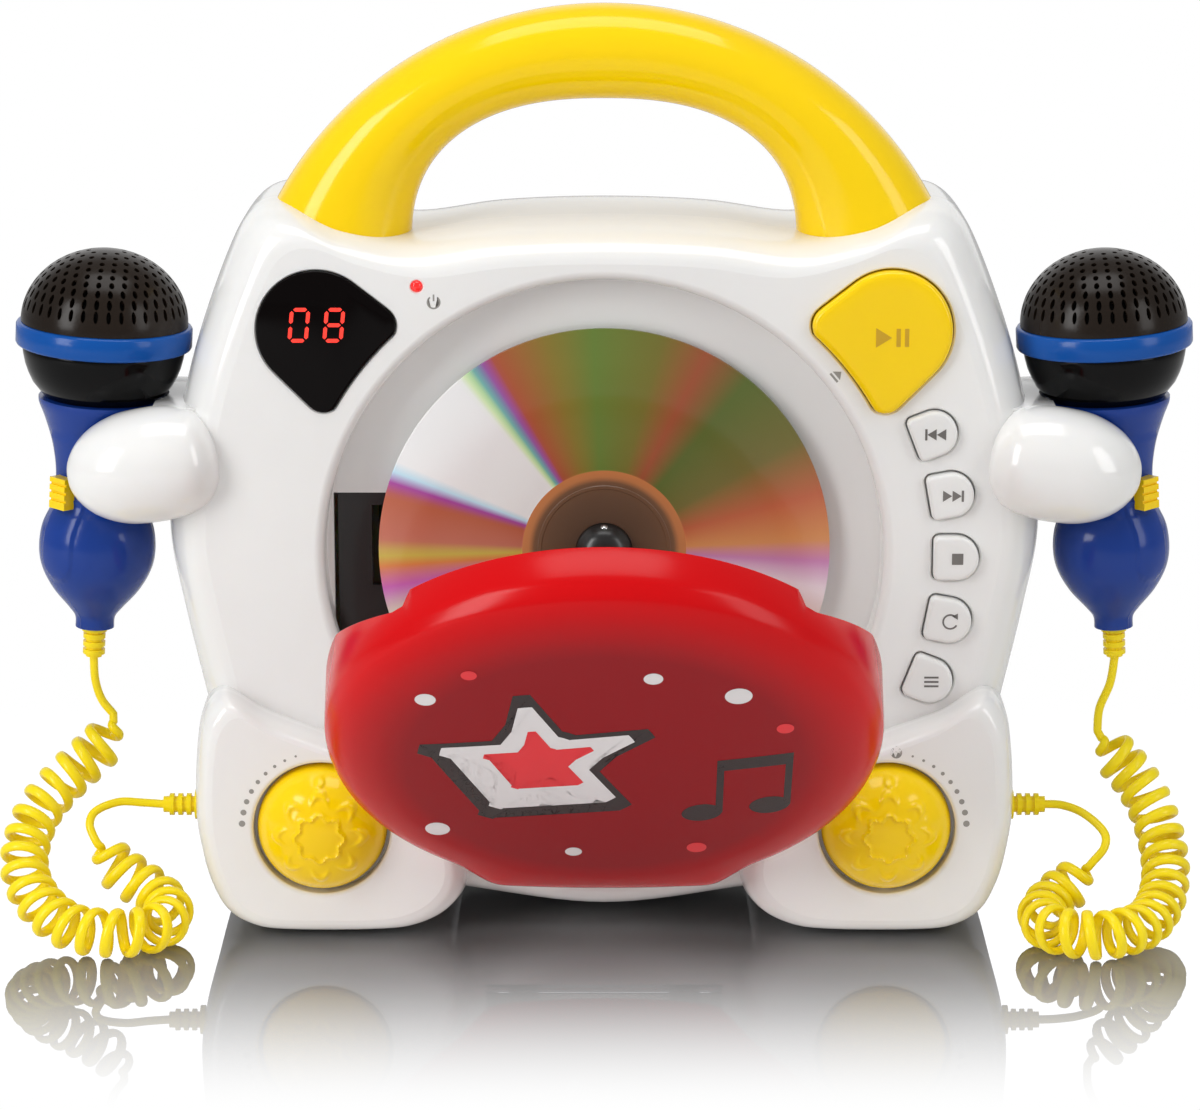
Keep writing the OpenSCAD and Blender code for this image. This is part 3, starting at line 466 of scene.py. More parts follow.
def rounded(r_out, r_in, y_out, y_in, steps=8):
    """A quarter round that falls from a face into a bore."""
    turn = np.linspace(0, math.pi / 2, steps)
    return [[r_out - (r_out - r_in) * math.sin(t), y_in - (y_in - y_out) * math.cos(t)] for t in turn]


def extruded(name, loop, depths, material):
    return solid(name, [np.column_stack([loop[:, 0], np.full(len(loop), y), loop[:, 1]]) for y in depths],
                 material)


def tapered(name, grown, steps, material, sharp=35):
    """A flat outline that is a function of how far it is grown, at the grows and depths of each step."""
    loops = []
    for grow, y in steps:
        loop = grown(grow)
        loops.append(np.column_stack([loop[:, 0], np.full(len(loop), y), loop[:, 1]]))
    return solid(name, loops, material, sharp)


def box_solid(name, low, high, material):
    x0, y0, z0 = low
    x1, y1, z1 = high
    loop = np.array([[x0, z0], [x0, z1], [x1, z1], [x1, z0]])
    return extruded(name, loop, [y0, y1], material)


def arc(x, z, r, start, end, steps):
    turn = np.radians(np.linspace(start, end, steps))
    return np.column_stack([x + r * np.cos(turn), z + r * np.sin(turn)])


# A key is a D: straight towards the well, round outwards
key_side = 11.9
key_arc_r = 92.9
key_step = 10.6


def key_loop(number, grow):
    half = key_side / 2 + grow
    corner = max(0.3, 1.6 + grow)
    loop = np.vstack([
        arc(0, 0, half, 90, -90, 25),
        arc(-half + corner, -half + corner, corner, -90, -180, 7),
        arc(-half + corner, half - corner, corner, 180, 90, 7),
    ])
    turn = math.radians((2 - number) * key_step)
    c, s = math.cos(turn), math.sin(turn)
    return np.column_stack([key_arc_r * c + c * loop[:, 0] - s * loop[:, 1],
                            key_arc_r * s + s * loop[:, 0] + c * loop[:, 1]])


# The play button and, mirrored, the display window share a teardrop whose inner side follows the well
drop_circles = [(75, 61, 15.8), (59.7, 62.2, 5.4), (73.5, 43.9, 4.8)]
drop_well_r = 81.2


def teardrop(grow, side=1, steps=120):
    """The hull of three circles less the well's circle, as rays from its middle."""
    middle = np.array([74, 60])
    rim = np.vstack([arc(x, z, r + grow, 0, 360, 181)[:-1] for x, z, r in drop_circles]) - middle
    out = []
    for turn in np.linspace(0, -2 * math.pi, steps, endpoint=False):
        ray = np.array([math.cos(turn), math.sin(turn)])
        facing = 2 * math.pi * np.arange(360) / 360
        normals = np.column_stack([np.cos(facing), np.sin(facing)])
        reach = (rim @ normals.T).max(axis=0)
        toward = normals @ ray
        span = (reach[toward > 0.02] / toward[toward > 0.02]).min()
        b = ray @ middle
        gap = middle @ middle - (drop_well_r - grow) ** 2
        root = b * b - gap
        if root > 0 and b < 0:
            span = min(span, -b - math.sqrt(root))
        out.append((middle + ray * span) * [side, 1])
    return np.array(out)


front = solid("front_case_moulding", case_loops(torso_outline, torso_middle, torso_front)
              + case_loops(torso_outline, torso_middle, torso_front_hollow, 3), case_white)
for mirror in (False, True):
    pod = solid("pod", case_loops(leg_outline, pod_middle, pod_front, mirror=mirror)
                + case_loops(leg_outline, pod_middle, pod_front_hollow, 3, mirror=mirror), case_white)
    carved(front, pod, "UNION")
lip = rounded(mouth_r + 2.7, mouth_r, panel_y, -5.2)
carved(front,
       turned_y("well_mouth", [[0, -40], [mouth_r + 2.7, -40]] + lip + [[mouth_r, 6], [0, 6]], case_white,
                steps=192))
carved(front, box_solid("hinge_box", [-34, -7, -89], [34, 11, -68], case_white), "UNION")
carved(front, box_solid("hinge_bay", [-32, -40, -86.5], [32, 9, -60], case_white))
holes = []
for i in range(5):
    holes.append(tapered("key_hole", lambda grow, i=i: key_loop(i, grow),
                         [[1, -20], [1, -8.05], [0.72, -7.85], [0.45, -7.4], [0.4, -7], [0.4, 0]],
                         case_white))
holes.append(tapered("play_hole", teardrop,
                     [[1, -20], [1, -8.05], [0.72, -7.85], [0.45, -7.4], [0.4, -7], [0.4, 0]], case_white))
holes.append(tapered("window_hole", lambda grow: teardrop(grow, -1),
                     [[0.5, -20], [0.5, -8.05], [0.1, -7.6], [0.1, 0]],
                     case_white))
led_x, led_z = -48.8, 72.6
holes.append(turned_y("light_hole", [[0, -20], [1.9, -20], [1.9, -8], [1.6, -7.7], [1.6, 0], [0, 0]],
                      case_white,
                      led_x, led_z, 32))
knob_x = 75.1
knob_z = -71.7
for side in (-1, 1):
    holes.append(turned_y("knob_socket", [[0, -60], [19.5, -60]] + rounded(19.5, 18.2, -19, -18.1, 6)
                          + [[18.2, -14], [5, -14], [5, 0], [0, 0]], case_white, side * knob_x, knob_z))
carved(front, joined("panel_holes", holes))
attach(front, "root")
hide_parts("front_shell")
tidied(front, 32, weighted=True)

# ---- Case: rear moulding ----
# The back half of the case in the same white plastic, with the battery opening, the loudspeaker slots, the
# power inlet's hole and six deep screw holes.
torso_rear = [[18, 1], [46, 0.995], [62, 0.975], [72, 0.94], [76.5, 0.9], [78, 0.86]]
torso_rear_hollow = [[18, 0.977], [46, 0.972], [61, 0.95], [70, 0.915], [75.5, 0.85]]
pod_rear = [[18, 1], [58, 1], [68, 0.96], [74, 0.88], [76, 0.78]]
pod_rear_hollow = [[18, 0.935], [56, 0.935], [66, 0.89], [73, 0.76]]
door_low = (-57, -74)
door_high = (57, -18)
speaker_x, speaker_z = 46, 36
screw_places = [(94.5, 66), (100, -34), (58, -92)]
rear = solid("rear_case_moulding", case_loops(torso_outline, torso_middle, torso_rear_hollow[::-1], 3)
             + case_loops(torso_outline, torso_middle, torso_rear), case_white)
for mirror in (False, True):
    pod = solid("pod", case_loops(leg_outline, pod_middle, pod_rear_hollow[::-1], 3, mirror)
                + case_loops(leg_outline, pod_middle, pod_rear, 6, mirror), case_white)
    carved(rear, pod, "UNION")
holes = [box_solid("door_opening", (door_low[0], 45, door_low[1]), (door_high[0], 90, door_high[1]),
                   case_white)]
for side in (-1, 1):
    for i in range(6):
        up = (i - 2.5) * 7.2
        half = math.sqrt(22 ** 2 - up ** 2)
        loop = np.vstack([arc(half - 1.8, 0, 1.8, 90, -90, 9), arc(1.8 - half, 0, 1.8, 270, 90, 9)])
        loop += [side * speaker_x, speaker_z + up]
        holes.append(extruded("sound_slot", loop, [60, 90], case_white))
    for x, z in screw_places:
        holes.append(turned_y("screw_hole", [[0, 60], [3.2, 60], [3.2, 74], [3.6, 78.5], [3.6, 90], [0, 90]],
                              case_white, side * x, z, 32))
holes.append(turned_y("inlet_hole", [[0, 50], [5, 50], [5, 90], [0, 90]], case_white, 78, -58, 40))
carved(rear, joined("rear_holes", holes))
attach(rear, "root")
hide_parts("rear_shell")
tidied(rear, 32, weighted=True)

# ---- Carry handle ----
# A yellow gloss arch in two hollow halves that lock into each other and into the top of the case. The
# parting line runs along the middle of the arch.
arch_r, arch_z = 98.8, 44.4
gap_x, gap_foot, gap_z = 51, 80, 118.3
handle_yellow = moulded("handle_yellow", (1.0, 0.66, 0.001), 0.14, coat=0.12, mottle=0.015, peel=0.02,
                        grain=420, glow=0.08,
                        shine=0.28)


def handle_half(name, side, node):
    loops = []
    for s in np.linspace(-side, side, 121):
        turn = abs(s) * math.pi / 2
        low = np.array([math.copysign(gap_x * math.sin(turn) ** 0.83, s),
                        gap_foot + (gap_z - gap_foot) * max(0, math.cos(turn)) ** 0.83])
        bow = math.radians(66 * s)
        high = np.array([arch_r * math.sin(bow), arch_z + arch_r * math.cos(bow)])
        middle, up = (low + high) / 2, unit(high - low)
        half, deep = np.linalg.norm(high - low) / 2, 13 + 4 * s * s
        a = np.radians(np.linspace(-90, 90, 33))
        outer = np.column_stack([half * np.sin(a), 0.06 + (deep - 0.06) * np.cos(a) ** 0.96])
        lip_in = np.array([[half - 0.25, 0.02]])
        inner = np.column_stack([(half - 2.5) * np.sin(a[::-2]), (deep - 2.5) * np.cos(a[::-2])])
        section = np.vstack([outer * [1, 1], lip_in, inner, -lip_in * [1, -1]])
        loops.append(np.column_stack([middle[0] + up[0] * section[:, 0], seam_y + side * section[:, 1],
                                      middle[1] + up[1] * section[:, 0]]))
    half_shell = solid(name, loops, handle_yellow, 50)
    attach(half_shell, "root")
    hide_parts(node)


handle_half("handle_front_half", -1, "handle_front")
handle_half("handle_rear_half", 1, "handle_rear")

# ---- Hands ----
# Each hand is a white fist moulded with the case: an egg in front of the microphone, one behind it and a
# palm between them, bored for the handle with a seat for its rim.
mic_x, mic_y, hand_z = 135, 15, 25.4
mic_lean = math.radians(3.5)
finger_droop = math.radians(9)
egg = [[-1, 0], [-0.96, 0.28], [-0.82, 0.57], [-0.6, 0.8], [-0.3, 0.955], [0, 1], [0.35, 0.985], [0.7, 0.86],
       [0.9, 0.6], [0.975, 0.33], [1, 0]]


def at_mic(points, side=1):
    """Millimetres from the middle of the hand, along the leaning microphone, as metres in the frame."""
    p = np.asarray(points, float)
    x = p[:, 0] * math.cos(mic_lean) - p[:, 2] * math.sin(mic_lean)
    z = p[:, 0] * math.sin(mic_lean) + p[:, 2] * math.cos(mic_lean)
    return at_disc(np.column_stack([x + mic_x, p[:, 1] + mic_y, z + hand_z]), side)


def turned_mic(name, profile, side, material, steps=96, sharp=35):
    """A profile of radius and height turned round the microphone's axis."""
    loops = []
    angle = 2 * math.pi * np.arange(steps) / steps
    for r, h in profile:
        r = max(r, 0.001)
        loops.append(np.column_stack([r * np.cos(angle), r * np.sin(angle), np.full(steps, h)]))
    points, faces = skinned(loops)
    return tidied(mesh_object(name, at_mic(points, side), faces, material), sharp)


def fist(side):
    eggs = []
    for depth in (-4, 2 * mic_y + 4):
        loops = []
        for x, r in smooth_line(egg, 5):
            angle = 2 * math.pi * np.arange(72) / 72
            r = max(0.002, 15.2 * r)
            out, up = 9.5 - 20.5 * x, r * np.sin(angle)
            along = 112 + out * math.cos(finger_droop) + up * math.sin(finger_droop)
            height = hand_z - out * math.sin(finger_droop) + up * math.cos(finger_droop)
            loops.append(np.column_stack([side * along, depth + r * np.cos(angle), height]))
        eggs.append(solid("egg", loops, case_white))
    hand, behind = eggs
    carved(hand, behind, "UNION")
    palm = box_solid("palm", (min(side * 104, side * 119), -4, 11.4),
                     (max(side * 104, side * 119), 34, 39.4), case_white)
    carved(hand, palm, "UNION")
    bore = [[0, -40], [16, -40], [16, 8.6], [17.8, 11], [17.8, 31], [0, 31]]
    carved(hand, turned_mic("hand_bore", bore, side, case_white))
    outside = sorted((side * mic_x, side * (mic_x + 40)))
    carved(hand, box_solid("hand_opening", (outside[0], mic_y - 15.8, -4.6),
                           (outside[1], mic_y + 15.8, 55.4), case_white))
    torso = solid("torso", case_loops(torso_outline, torso_middle, torso_front + torso_rear[1:]), case_white)
    carved(hand, torso)
    hand.name = "left_hand" if side < 0 else "right_hand"
    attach(hand, "root")
    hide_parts("left_arm" if side < 0 else "right_arm")
    tidied(hand, 40, weighted=True)


fist(-1)
fist(1)

# ---- Disc deck ----
# The floor and wall of the round well, moulded in the same white plastic and screwed in behind the panel.
# Its cut-out shows the black disc mechanism, and four holes take the mechanism's rubber bushes.
slot_low = (-72, -34)
slot_high = (16, 15)
damper_places = [(-66, 23.5), (-66, -44), (24, 23.5), (24, -44)]
deck_white = moulded("deck_white", (0.84, 0.835, 0.82), 0.24, coat=0.15, mottle=0.012, peel=0.04, grain=500,
                     glow=0.04)
deck = turned_y("disc_deck_moulding", [
    [0, 3], [mouth_r - 0.6, 3], [mouth_r - 0.2, 2.8], [mouth_r, 2.2], [mouth_r, -5.4], [mouth_r + 2.4, -5.4],
    [mouth_r + 2.4, 3], [mouth_r + 4, 3], [mouth_r + 4, 5], [0, 5]], deck_white, steps=192)
carved(deck, box_solid("mechanism_cut", (slot_low[0], -1, slot_low[1]), (slot_high[0], 9, slot_high[1]),
                       deck_white))
carved(deck, box_solid("hinge_cut", (-34.1, -20, -90), (34.1, 9, -67.9), deck_white))
carved(deck, joined("bush_holes",
                    [turned_y("bush_hole", [[0, 3.8], [1.5, 3.8], [1.5, 9], [0, 9]], deck_white, x, z, 24)
                                   for x, z in damper_places]))
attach(deck, "root")
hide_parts("disc_deck")
tidied(deck, 32, weighted=True)

# ---- Display ----
# A glossy black window in a teardrop of the panel. Behind it a red segment display shows two digits, and
# its light comes through the smoky plastic.
window_black = moulded("window_black", (0.002, 0.001, 0.001), 0.06, mottle=0.1, peel=0.005, grain=300,
                       shine=0.1)
window = tapered("display_window_lens", lambda grow: teardrop(grow, -1),
                 [[1.2, -4.5], [1.2, -5.4], [0, -5.4], [0, -8.3], [-0.25, -8.65], [-0.7, -8.8]],
                 window_black)
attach(window, "root")
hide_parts("display_window")

segment_red, add, link, output = nodes_of("segment_red")
lit = add("ShaderNodeBsdfPrincipled")
lit.inputs["Base Color"].default_value = (0.5, 0.01, 0.008, 1)
lit.inputs["Roughness"].default_value = 0.2
lit.inputs["Emission Strength"].default_value = 1.1
where = add("ShaderNodeTexCoord")
flicker = add("ShaderNodeTexNoise")
flicker.inputs["Scale"].default_value = 600
link(where.outputs["Object"], flicker.inputs["Vector"])
warmth = add("ShaderNodeValToRGB")
warmth.color_ramp.elements[0].color = (0.75, 0.02, 0.012, 1)
warmth.color_ramp.elements[1].color = (1.0, 0.06, 0.03, 1)
link(flicker.outputs["Fac"], warmth.inputs["Fac"])
link(warmth.outputs["Color"], lit.inputs["Emission Color"])
link(lit.outputs[0], output.inputs["Surface"])

# Segments a to g of each digit: middle in half widths and half heights, and whether it stands upright
segments = {"a": (0, 1, False), "b": (1, 0.5, True), "c": (1, -0.5, True), "d": (0, -1, False),
            "e": (-1, -0.5, True), "f": (-1, 0.5, True), "g": (0, 0, False)}
digit_half = np.array([2.15, 4.1])
shown_segments = [(-79.5, "abcdef"), (-70.4, "abcdefg")]
bars = []
for digit_x, lit_bars in shown_segments:
    for bar in lit_bars:
        x, z, upright = segments[bar]
        long_half = (digit_half[1] / 2 if upright else digit_half[0]) - 0.35
        bar_loop = np.array([[long_half, 0], [long_half - 0.5, -0.5], [0.5 - long_half, -0.5],
                             [-long_half, 0], [0.5 - long_half, 0.5], [long_half - 0.5, 0.5]])
        if upright:
            bar_loop = bar_loop[:, ::-1] * [1, -1]
        bar_loop = bar_loop + np.array([x, z]) * digit_half
        bar_loop[:, 0] += 0.1 * bar_loop[:, 1] + digit_x
        bar_loop[:, 1] += 62.5
        bars.append(extruded("bar", bar_loop, [-8.84, -8.7], segment_red))
digits = joined("display_digits", bars)
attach(digits, "root")

# ---- Power light ----
# A clear red light-emitting diode whose domed tip stands just proud of the panel.
diode_red, add, link, output = nodes_of("diode_red")
lens = add("ShaderNodeBsdfPrincipled")
lens.inputs["Base Color"].default_value = (0.7, 0.01, 0.01, 1)
lens.inputs["Roughness"].default_value = 0.08
lens.inputs["Coat Weight"].default_value = 0.5
lens.inputs["Emission Color"].default_value = (1, 0.02, 0.015, 1)
lens.inputs["Emission Strength"].default_value = 0.45
where = add("ShaderNodeTexCoord")
swirl = add("ShaderNodeTexNoise")
swirl.inputs["Scale"].default_value = 900
link(where.outputs["Object"], swirl.inputs["Vector"])
dimple = add("ShaderNodeBump")
dimple.inputs["Strength"].default_value = 0.05
dimple.inputs["Distance"].default_value = 0.0002
link(swirl.outputs["Fac"], dimple.inputs["Height"])
link(dimple.outputs["Normal"], lens.inputs["Normal"])
link(lens.outputs[0], output.inputs["Surface"])
diode = turned_y("power_light", [
    [0, -8.6], [0.5, -8.56], [0.95, -8.4], [1.3, -8.1], [1.5, -7.6], [1.5, -5.4], [2.2, -5.4], [2.2, -4.4],
    [1.5, -4.4], [1.5, -3], [0, -3]], diode_red, led_x, led_z, 40)
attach(diode, "root")
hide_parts("power_led")

# ---- Keys ----
# Five satin white keys stand in a curved row beside the well, each on its own switch. Each one carries a
# raised sign in grey print: back, forward, stop, repeat and mode.
key_white = moulded("key_white", (0.83, 0.825, 0.81), 0.3, coat=0.1, mottle=0.02, peel=0.08, grain=900,
                    glow=0.05)
print_grey = moulded("print_grey", (0.16, 0.15, 0.14), 0.5, mottle=0.15, peel=0.05, grain=1500)


def ring_loops(r, wide, start, end, steps=20):
    return np.vstack([arc(0, 0, r + wide / 2, start, end, steps),
                      arc(0, 0, r - wide / 2, end, start, steps)])


def triangle(x, size, point=1):
    return np.array([[x + point * size, 0], [x - point * size * 0.6, -size], [x - point * size * 0.6, size]])


def bar_at(x, half_wide, half_high, z=0.0):
    return np.array([[x - half_wide, z - half_high], [x + half_wide, z - half_high],
                     [x + half_wide, z + half_high], [x - half_wide, z + half_high]])


signs = [
    [bar_at(-2.6, 0.3, 1.5), triangle(-0.8, 1.5, -1), triangle(1.7, 1.5, -1)],
    [triangle(-1.7, 1.5), triangle(0.8, 1.5), bar_at(2.6, 0.3, 1.5)],
    [bar_at(0, 1.5, 1.5)],
    [ring_loops(1.9, 0.45, 50, 330), triangle(0, 0.9) @ np.array([[0.5, 0.85], [-0.85, 0.5]]) + [1.5, 1.5]],
    [bar_at(0, 1.9, 0.25, z) for z in (-1.2, 0, 1.2)],
]
key_nodes = ["key_back", "key_forward", "key_stop", "key_repeat", "key_mode"]
for i, node in enumerate(key_nodes):
    key = tapered(node + "_cap", lambda grow, i=i: key_loop(i, grow),
                  [[1, -4.2], [1, -5.2], [0, -5.2], [0, -9.4], [-0.2, -9.85], [-0.6, -10.1], [-1.1, -10.2],
                   [-2.6, -10.12]], key_white, 40)
    marks = []
    turn = math.radians((2 - i) * key_step)
    place = key_arc_r * np.array([math.cos(turn), math.sin(turn)])
    for loop in signs[i]:
        marks.append(extruded("mark", loop + place + [0.3, 0], [-10.2, -10.06], print_grey))
    sign = joined(node + "_sign", marks)
    body = node[4:] + "_key"
    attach(key, body)
    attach(sign, body)
    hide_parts(node)

# ---- Play button ----
# A large teardrop button in the handle's yellow with a raised start and pause sign, over its own switch.
sign_yellow = moulded("sign_yellow", (0.62, 0.36, 0.01), 0.4, mottle=0.08, peel=0.05, grain=900)
play = tapered("play_button_cap", teardrop,
               [[1, -4.2], [1, -5.2], [0, -5.2], [0, -9.5], [-0.3, -10.15], [-0.9, -10.5], [-1.8, -10.6],
                [-4, -10.55]], handle_yellow, 40)
marks = [extruded("mark", loop + [74.5, 59.5], [-10.62, -10.4], sign_yellow)
         for loop in (triangle(-2.2, 2.6), bar_at(2.1, 0.55, 2.4), bar_at(4.3, 0.55, 2.4))]
play_sign = joined("play_button_sign", marks)
for piece in (play, play_sign):
    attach(piece, "play_key")
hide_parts("play_button")

# ---- Volume knobs ----
# Two yellow domes in round sockets of the leg pods. A ring of raised petals gives grip, with a small pip
# that shows where the knob points.
knob_profile = smooth_line([[0, -28.6], [4, -28.3], [8, -27.2], [11.5, -25.3], [14.4, -22.6], [16.4, -19.4],
                            [17.3, -16.2]], 8)


def knob_cap(side):
    steps = 240
    angle = -2 * math.pi * np.arange(steps) / steps
    loops = []
    for r, y in knob_profile:
        r = max(r, 0.01)
        petal = np.cos(8 * angle)
        ring = np.clip(1.6 - abs(r - 10.2 - 1.5 * petal) * 1.1, 0, 1) * (0.5 + 0.5 * petal)
        edge = np.clip(1.2 - abs(r - 6.1 - 0.5 * petal) * 1.5, 0, 1)
        pip = np.clip(2.0 - 1.3 * np.hypot(r * np.cos(angle), r * np.sin(angle) - 14.2), 0, 1)
        bloom = np.maximum.reduce([ring, 0.8 * edge, pip])
        soft = bloom * bloom * (3 - 2 * bloom)
        loops.append(np.column_stack([side * knob_x + r * np.cos(angle), y - 0.75 * soft,
                                      knob_z + r * np.sin(angle)]))
    for r, y in ((17.3, -14.8), (17, -14.4), (3.05, -14.4), (3.05, -24.2), (0.01, -24.2)):
        loops.append(np.column_stack([side * knob_x + r * np.cos(angle), np.full(steps, y),
                                      knob_z + r * np.sin(angle)]))
    name = "left" if side < 0 else "right"
    cap = solid(name + "_volume_knob", loops, handle_yellow, 60)
    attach(cap, name + "_volume")
    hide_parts(name + "_knob")


knob_cap(-1)
knob_cap(1)

# ---- Disc ----
# A pressed polycarbonate disc: a clear hub with a stacking ring, and a mirror of lacquered aluminium. The
# fans of colour its fine track splits from the light, and the white of the lamps it mirrors, are painted
# reflections in its colour.
disc_mirror, add, link, output = nodes_of("disc_mirror")
foil = add("ShaderNodeBsdfPrincipled")
foil.inputs["Coat Weight"].default_value = 0.4
foil.inputs["Coat Roughness"].default_value = 0.1
where = add("ShaderNodeTexCoord")
from_middle = add("ShaderNodeVectorMath")
from_middle.operation = "SUBTRACT"
from_middle.inputs[1].default_value = disc_middle
link(where.outputs["Object"], from_middle.inputs[0])
parts = add("ShaderNodeSeparateXYZ")
link(from_middle.outputs[0], parts.inputs[0])
turned = add("ShaderNodeMath")
turned.operation = "ARCTAN2"
link(parts.outputs["X"], turned.inputs[0])
link(parts.outputs["Z"], turned.inputs[1])
clock = add("ShaderNodeMapRange")
clock.inputs["From Min"].default_value = -math.pi
clock.inputs["From Max"].default_value = math.pi
link(turned.outputs[0], clock.inputs["Value"])
painted_reflection_fans = add("ShaderNodeValToRGB")
# Painted reflections: hours on a clock face, from 6 round to 6, and the colour painted there
painted_reflection_colours = [
    (6.0, (0.45, 0.28, 0.2)), (7.6, (0.75, 0.48, 0.34)), (8.45, (0.7, 0.6, 0.5)),
    (8.66, (0.6, 0.12, 0.5)), (8.86, (0.75, 0.24, 0.06)), (8.96, (0.65, 0.5, 0.08)),
    (9.1, (0.6, 0.18, 0.12)), (9.5, (0.55, 0.13, 0.06)), (9.62, (0.42, 0.06, 0.42)),
    (9.7, (0.6, 0.85, 1.0)), (9.8, (1, 1, 1)), (10.68, (1, 1, 1)), (10.76, (0.7, 0.95, 0.4)),
    (10.84, (0.12, 0.45, 0.5)), (10.93, (0.4, 0.08, 0.42)), (11.02, (0.5, 0.1, 0.04)),
    (11.5, (0.3, 0.22, 0.03)), (11.9, (0.16, 0.26, 0.04)), (12.5, (0.22, 0.2, 0.03)),
    (12.9, (0.42, 0.1, 0.04)), (13.3, (0.12, 0.17, 0.03)), (14.0, (0.2, 0.17, 0.04)),
    (14.5, (0.58, 0.14, 0.06)), (14.9, (0.72, 0.3, 0.1)), (15.1, (0.62, 0.24, 0.5)),
    (15.35, (0.88, 0.75, 0.8)), (15.8, (0.6, 0.34, 0.2)), (18.0, (0.45, 0.28, 0.2)),
]
painted_reflection_fans.color_ramp.elements[0].position = 0.0
painted_reflection_fans.color_ramp.elements[1].position = 1.0
while len(painted_reflection_fans.color_ramp.elements) < len(painted_reflection_colours):
    painted_reflection_fans.color_ramp.elements.new(0.5)
for stop, (hour, colour) in zip(painted_reflection_fans.color_ramp.elements, painted_reflection_colours):
    stop.position = (hour - 6) / 12
    stop.color = (*colour, 1)
link(clock.outputs["Result"], painted_reflection_fans.inputs["Fac"])
reach = add("ShaderNodeVectorMath")
reach.operation = "LENGTH"
link(from_middle.outputs[0], reach.inputs[0])
bands = add("ShaderNodeValToRGB")
bands.color_ramp.interpolation = "CONSTANT"
bands.color_ramp.elements[0].color = (1, 1, 1, 1)
bands.color_ramp.elements[1].position = 0.36
bands.color_ramp.elements[1].color = (0, 0, 0, 1)
to_ramp = add("ShaderNodeMath")
to_ramp.operation = "MULTIPLY"
to_ramp.inputs[1].default_value = 1 / 0.06
link(reach.outputs["Value"], to_ramp.inputs[0])
link(to_ramp.outputs[0], bands.inputs["Fac"])
hub = add("ShaderNodeValToRGB")
hub.color_ramp.elements[0].position = 0.12
hub.color_ramp.elements[0].color = (0.07, 0.03, 0.012, 1)
hub.color_ramp.elements[1].position = 0.36
hub.color_ramp.elements[1].color = (0.5, 0.17, 0.05, 1)
for position, colour in ((0.24, (0.1, 0.045, 0.02)), (0.31, (0.14, 0.06, 0.025)),
                         (0.335, (0.45, 0.16, 0.05))):
    stop = hub.color_ramp.elements.new(position)
    stop.color = (*colour, 1)
link(to_ramp.outputs[0], hub.inputs["Fac"])
surface = add("ShaderNodeMix")
surface.data_type = "RGBA"
link(bands.outputs["Color"], surface.inputs["Factor"])
link(painted_reflection_fans.outputs["Color"], surface.inputs["A"])
link(hub.outputs["Color"], surface.inputs["B"])
link(surface.outputs["Result"], foil.inputs["Base Color"])
metal_share = add("ShaderNodeMapRange")
metal_share.inputs["To Min"].default_value = 0.35
metal_share.inputs["To Max"].default_value = 0.0
link(bands.outputs["Color"], metal_share.inputs["Value"])
link(metal_share.outputs["Result"], foil.inputs["Metallic"])
tracks = add("ShaderNodeTexNoise")
tracks.inputs["Scale"].default_value = 60
link(where.outputs["Object"], tracks.inputs["Vector"])
dull = add("ShaderNodeMapRange")
dull.inputs["To Min"].default_value = 0.3
dull.inputs["To Max"].default_value = 0.42
link(tracks.outputs["Fac"], dull.inputs["Value"])
link(dull.outputs["Result"], foil.inputs["Roughness"])
link(foil.outputs[0], output.inputs["Surface"])
plate = turned_y("disc_plate", [
    [7.5, 0.6], [7.5, -0.5], [7.6, -0.6], [16.6, -0.6], [16.8, -0.78], [17.6, -0.78], [17.8, -0.6],
    [21.4, -0.6], [21.6, -0.55], [22.2, -0.55], [22.4, -0.6], [59.6, -0.6], [59.9, -0.5], [60, -0.3],
    [60, 0.3], [59.8, 0.6]],
    disc_mirror, steps=256, sharp=30)
inner = bmesh.new()
inner.from_mesh(plate.data)
bmesh.ops.delete(inner, geom=[f for f in inner.faces if len(f.verts) > 4], context="FACES_ONLY")
inner.verts.ensure_lookup_table()
for j in range(256):
    k = (j + 1) % 256
    inner.faces.new([inner.verts[j], inner.verts[k], inner.verts[15 * 256 + k], inner.verts[15 * 256 + j]])
bmesh.ops.recalc_face_normals(inner, faces=inner.faces)
for face in inner.faces:
    face.smooth = True
inner.to_mesh(plate.data)
inner.free()
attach(plate, "disc")
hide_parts("disc")

# ---- Turntable ----
# A black acetal hub pressed on the motor's shaft, with a platform for the disc and three sprung steel balls
# that hold it by its hole.
mechanism_black = moulded("mechanism_black", (0.011, 0.01, 0.01), 0.32, coat=0.1, mottle=0.15, peel=0.06,
                          grain=1100)


def metal(name, colour, roughness, blotch=0.1):
    """Bright metal with a faint uneven tarnish and uneven gloss."""
    material, add, link, output = nodes_of(name)
    skin = add("ShaderNodeBsdfPrincipled")
    skin.inputs["Metallic"].default_value = 1.0
    where = add("ShaderNodeTexCoord")
    cloud = add("ShaderNodeTexNoise")
    cloud.inputs["Scale"].default_value = 160
    cloud.inputs["Detail"].default_value = 4
    link(where.outputs["Object"], cloud.inputs["Vector"])
    shade = add("ShaderNodeValToRGB")
    shade.color_ramp.elements[0].color = (*[c * (1 - blotch) for c in colour], 1)
    shade.color_ramp.elements[1].color = (*colour, 1)
    link(cloud.outputs["Fac"], shade.inputs["Fac"])
    link(shade.outputs["Color"], skin.inputs["Base Color"])
    gloss = add("ShaderNodeMapRange")
    gloss.inputs["To Min"].default_value = roughness * 0.7
    gloss.inputs["To Max"].default_value = roughness * 1.4
    link(cloud.outputs["Fac"], gloss.inputs["Value"])
    link(gloss.outputs["Result"], skin.inputs["Roughness"])
    link(skin.outputs[0], output.inputs["Surface"])
    return material


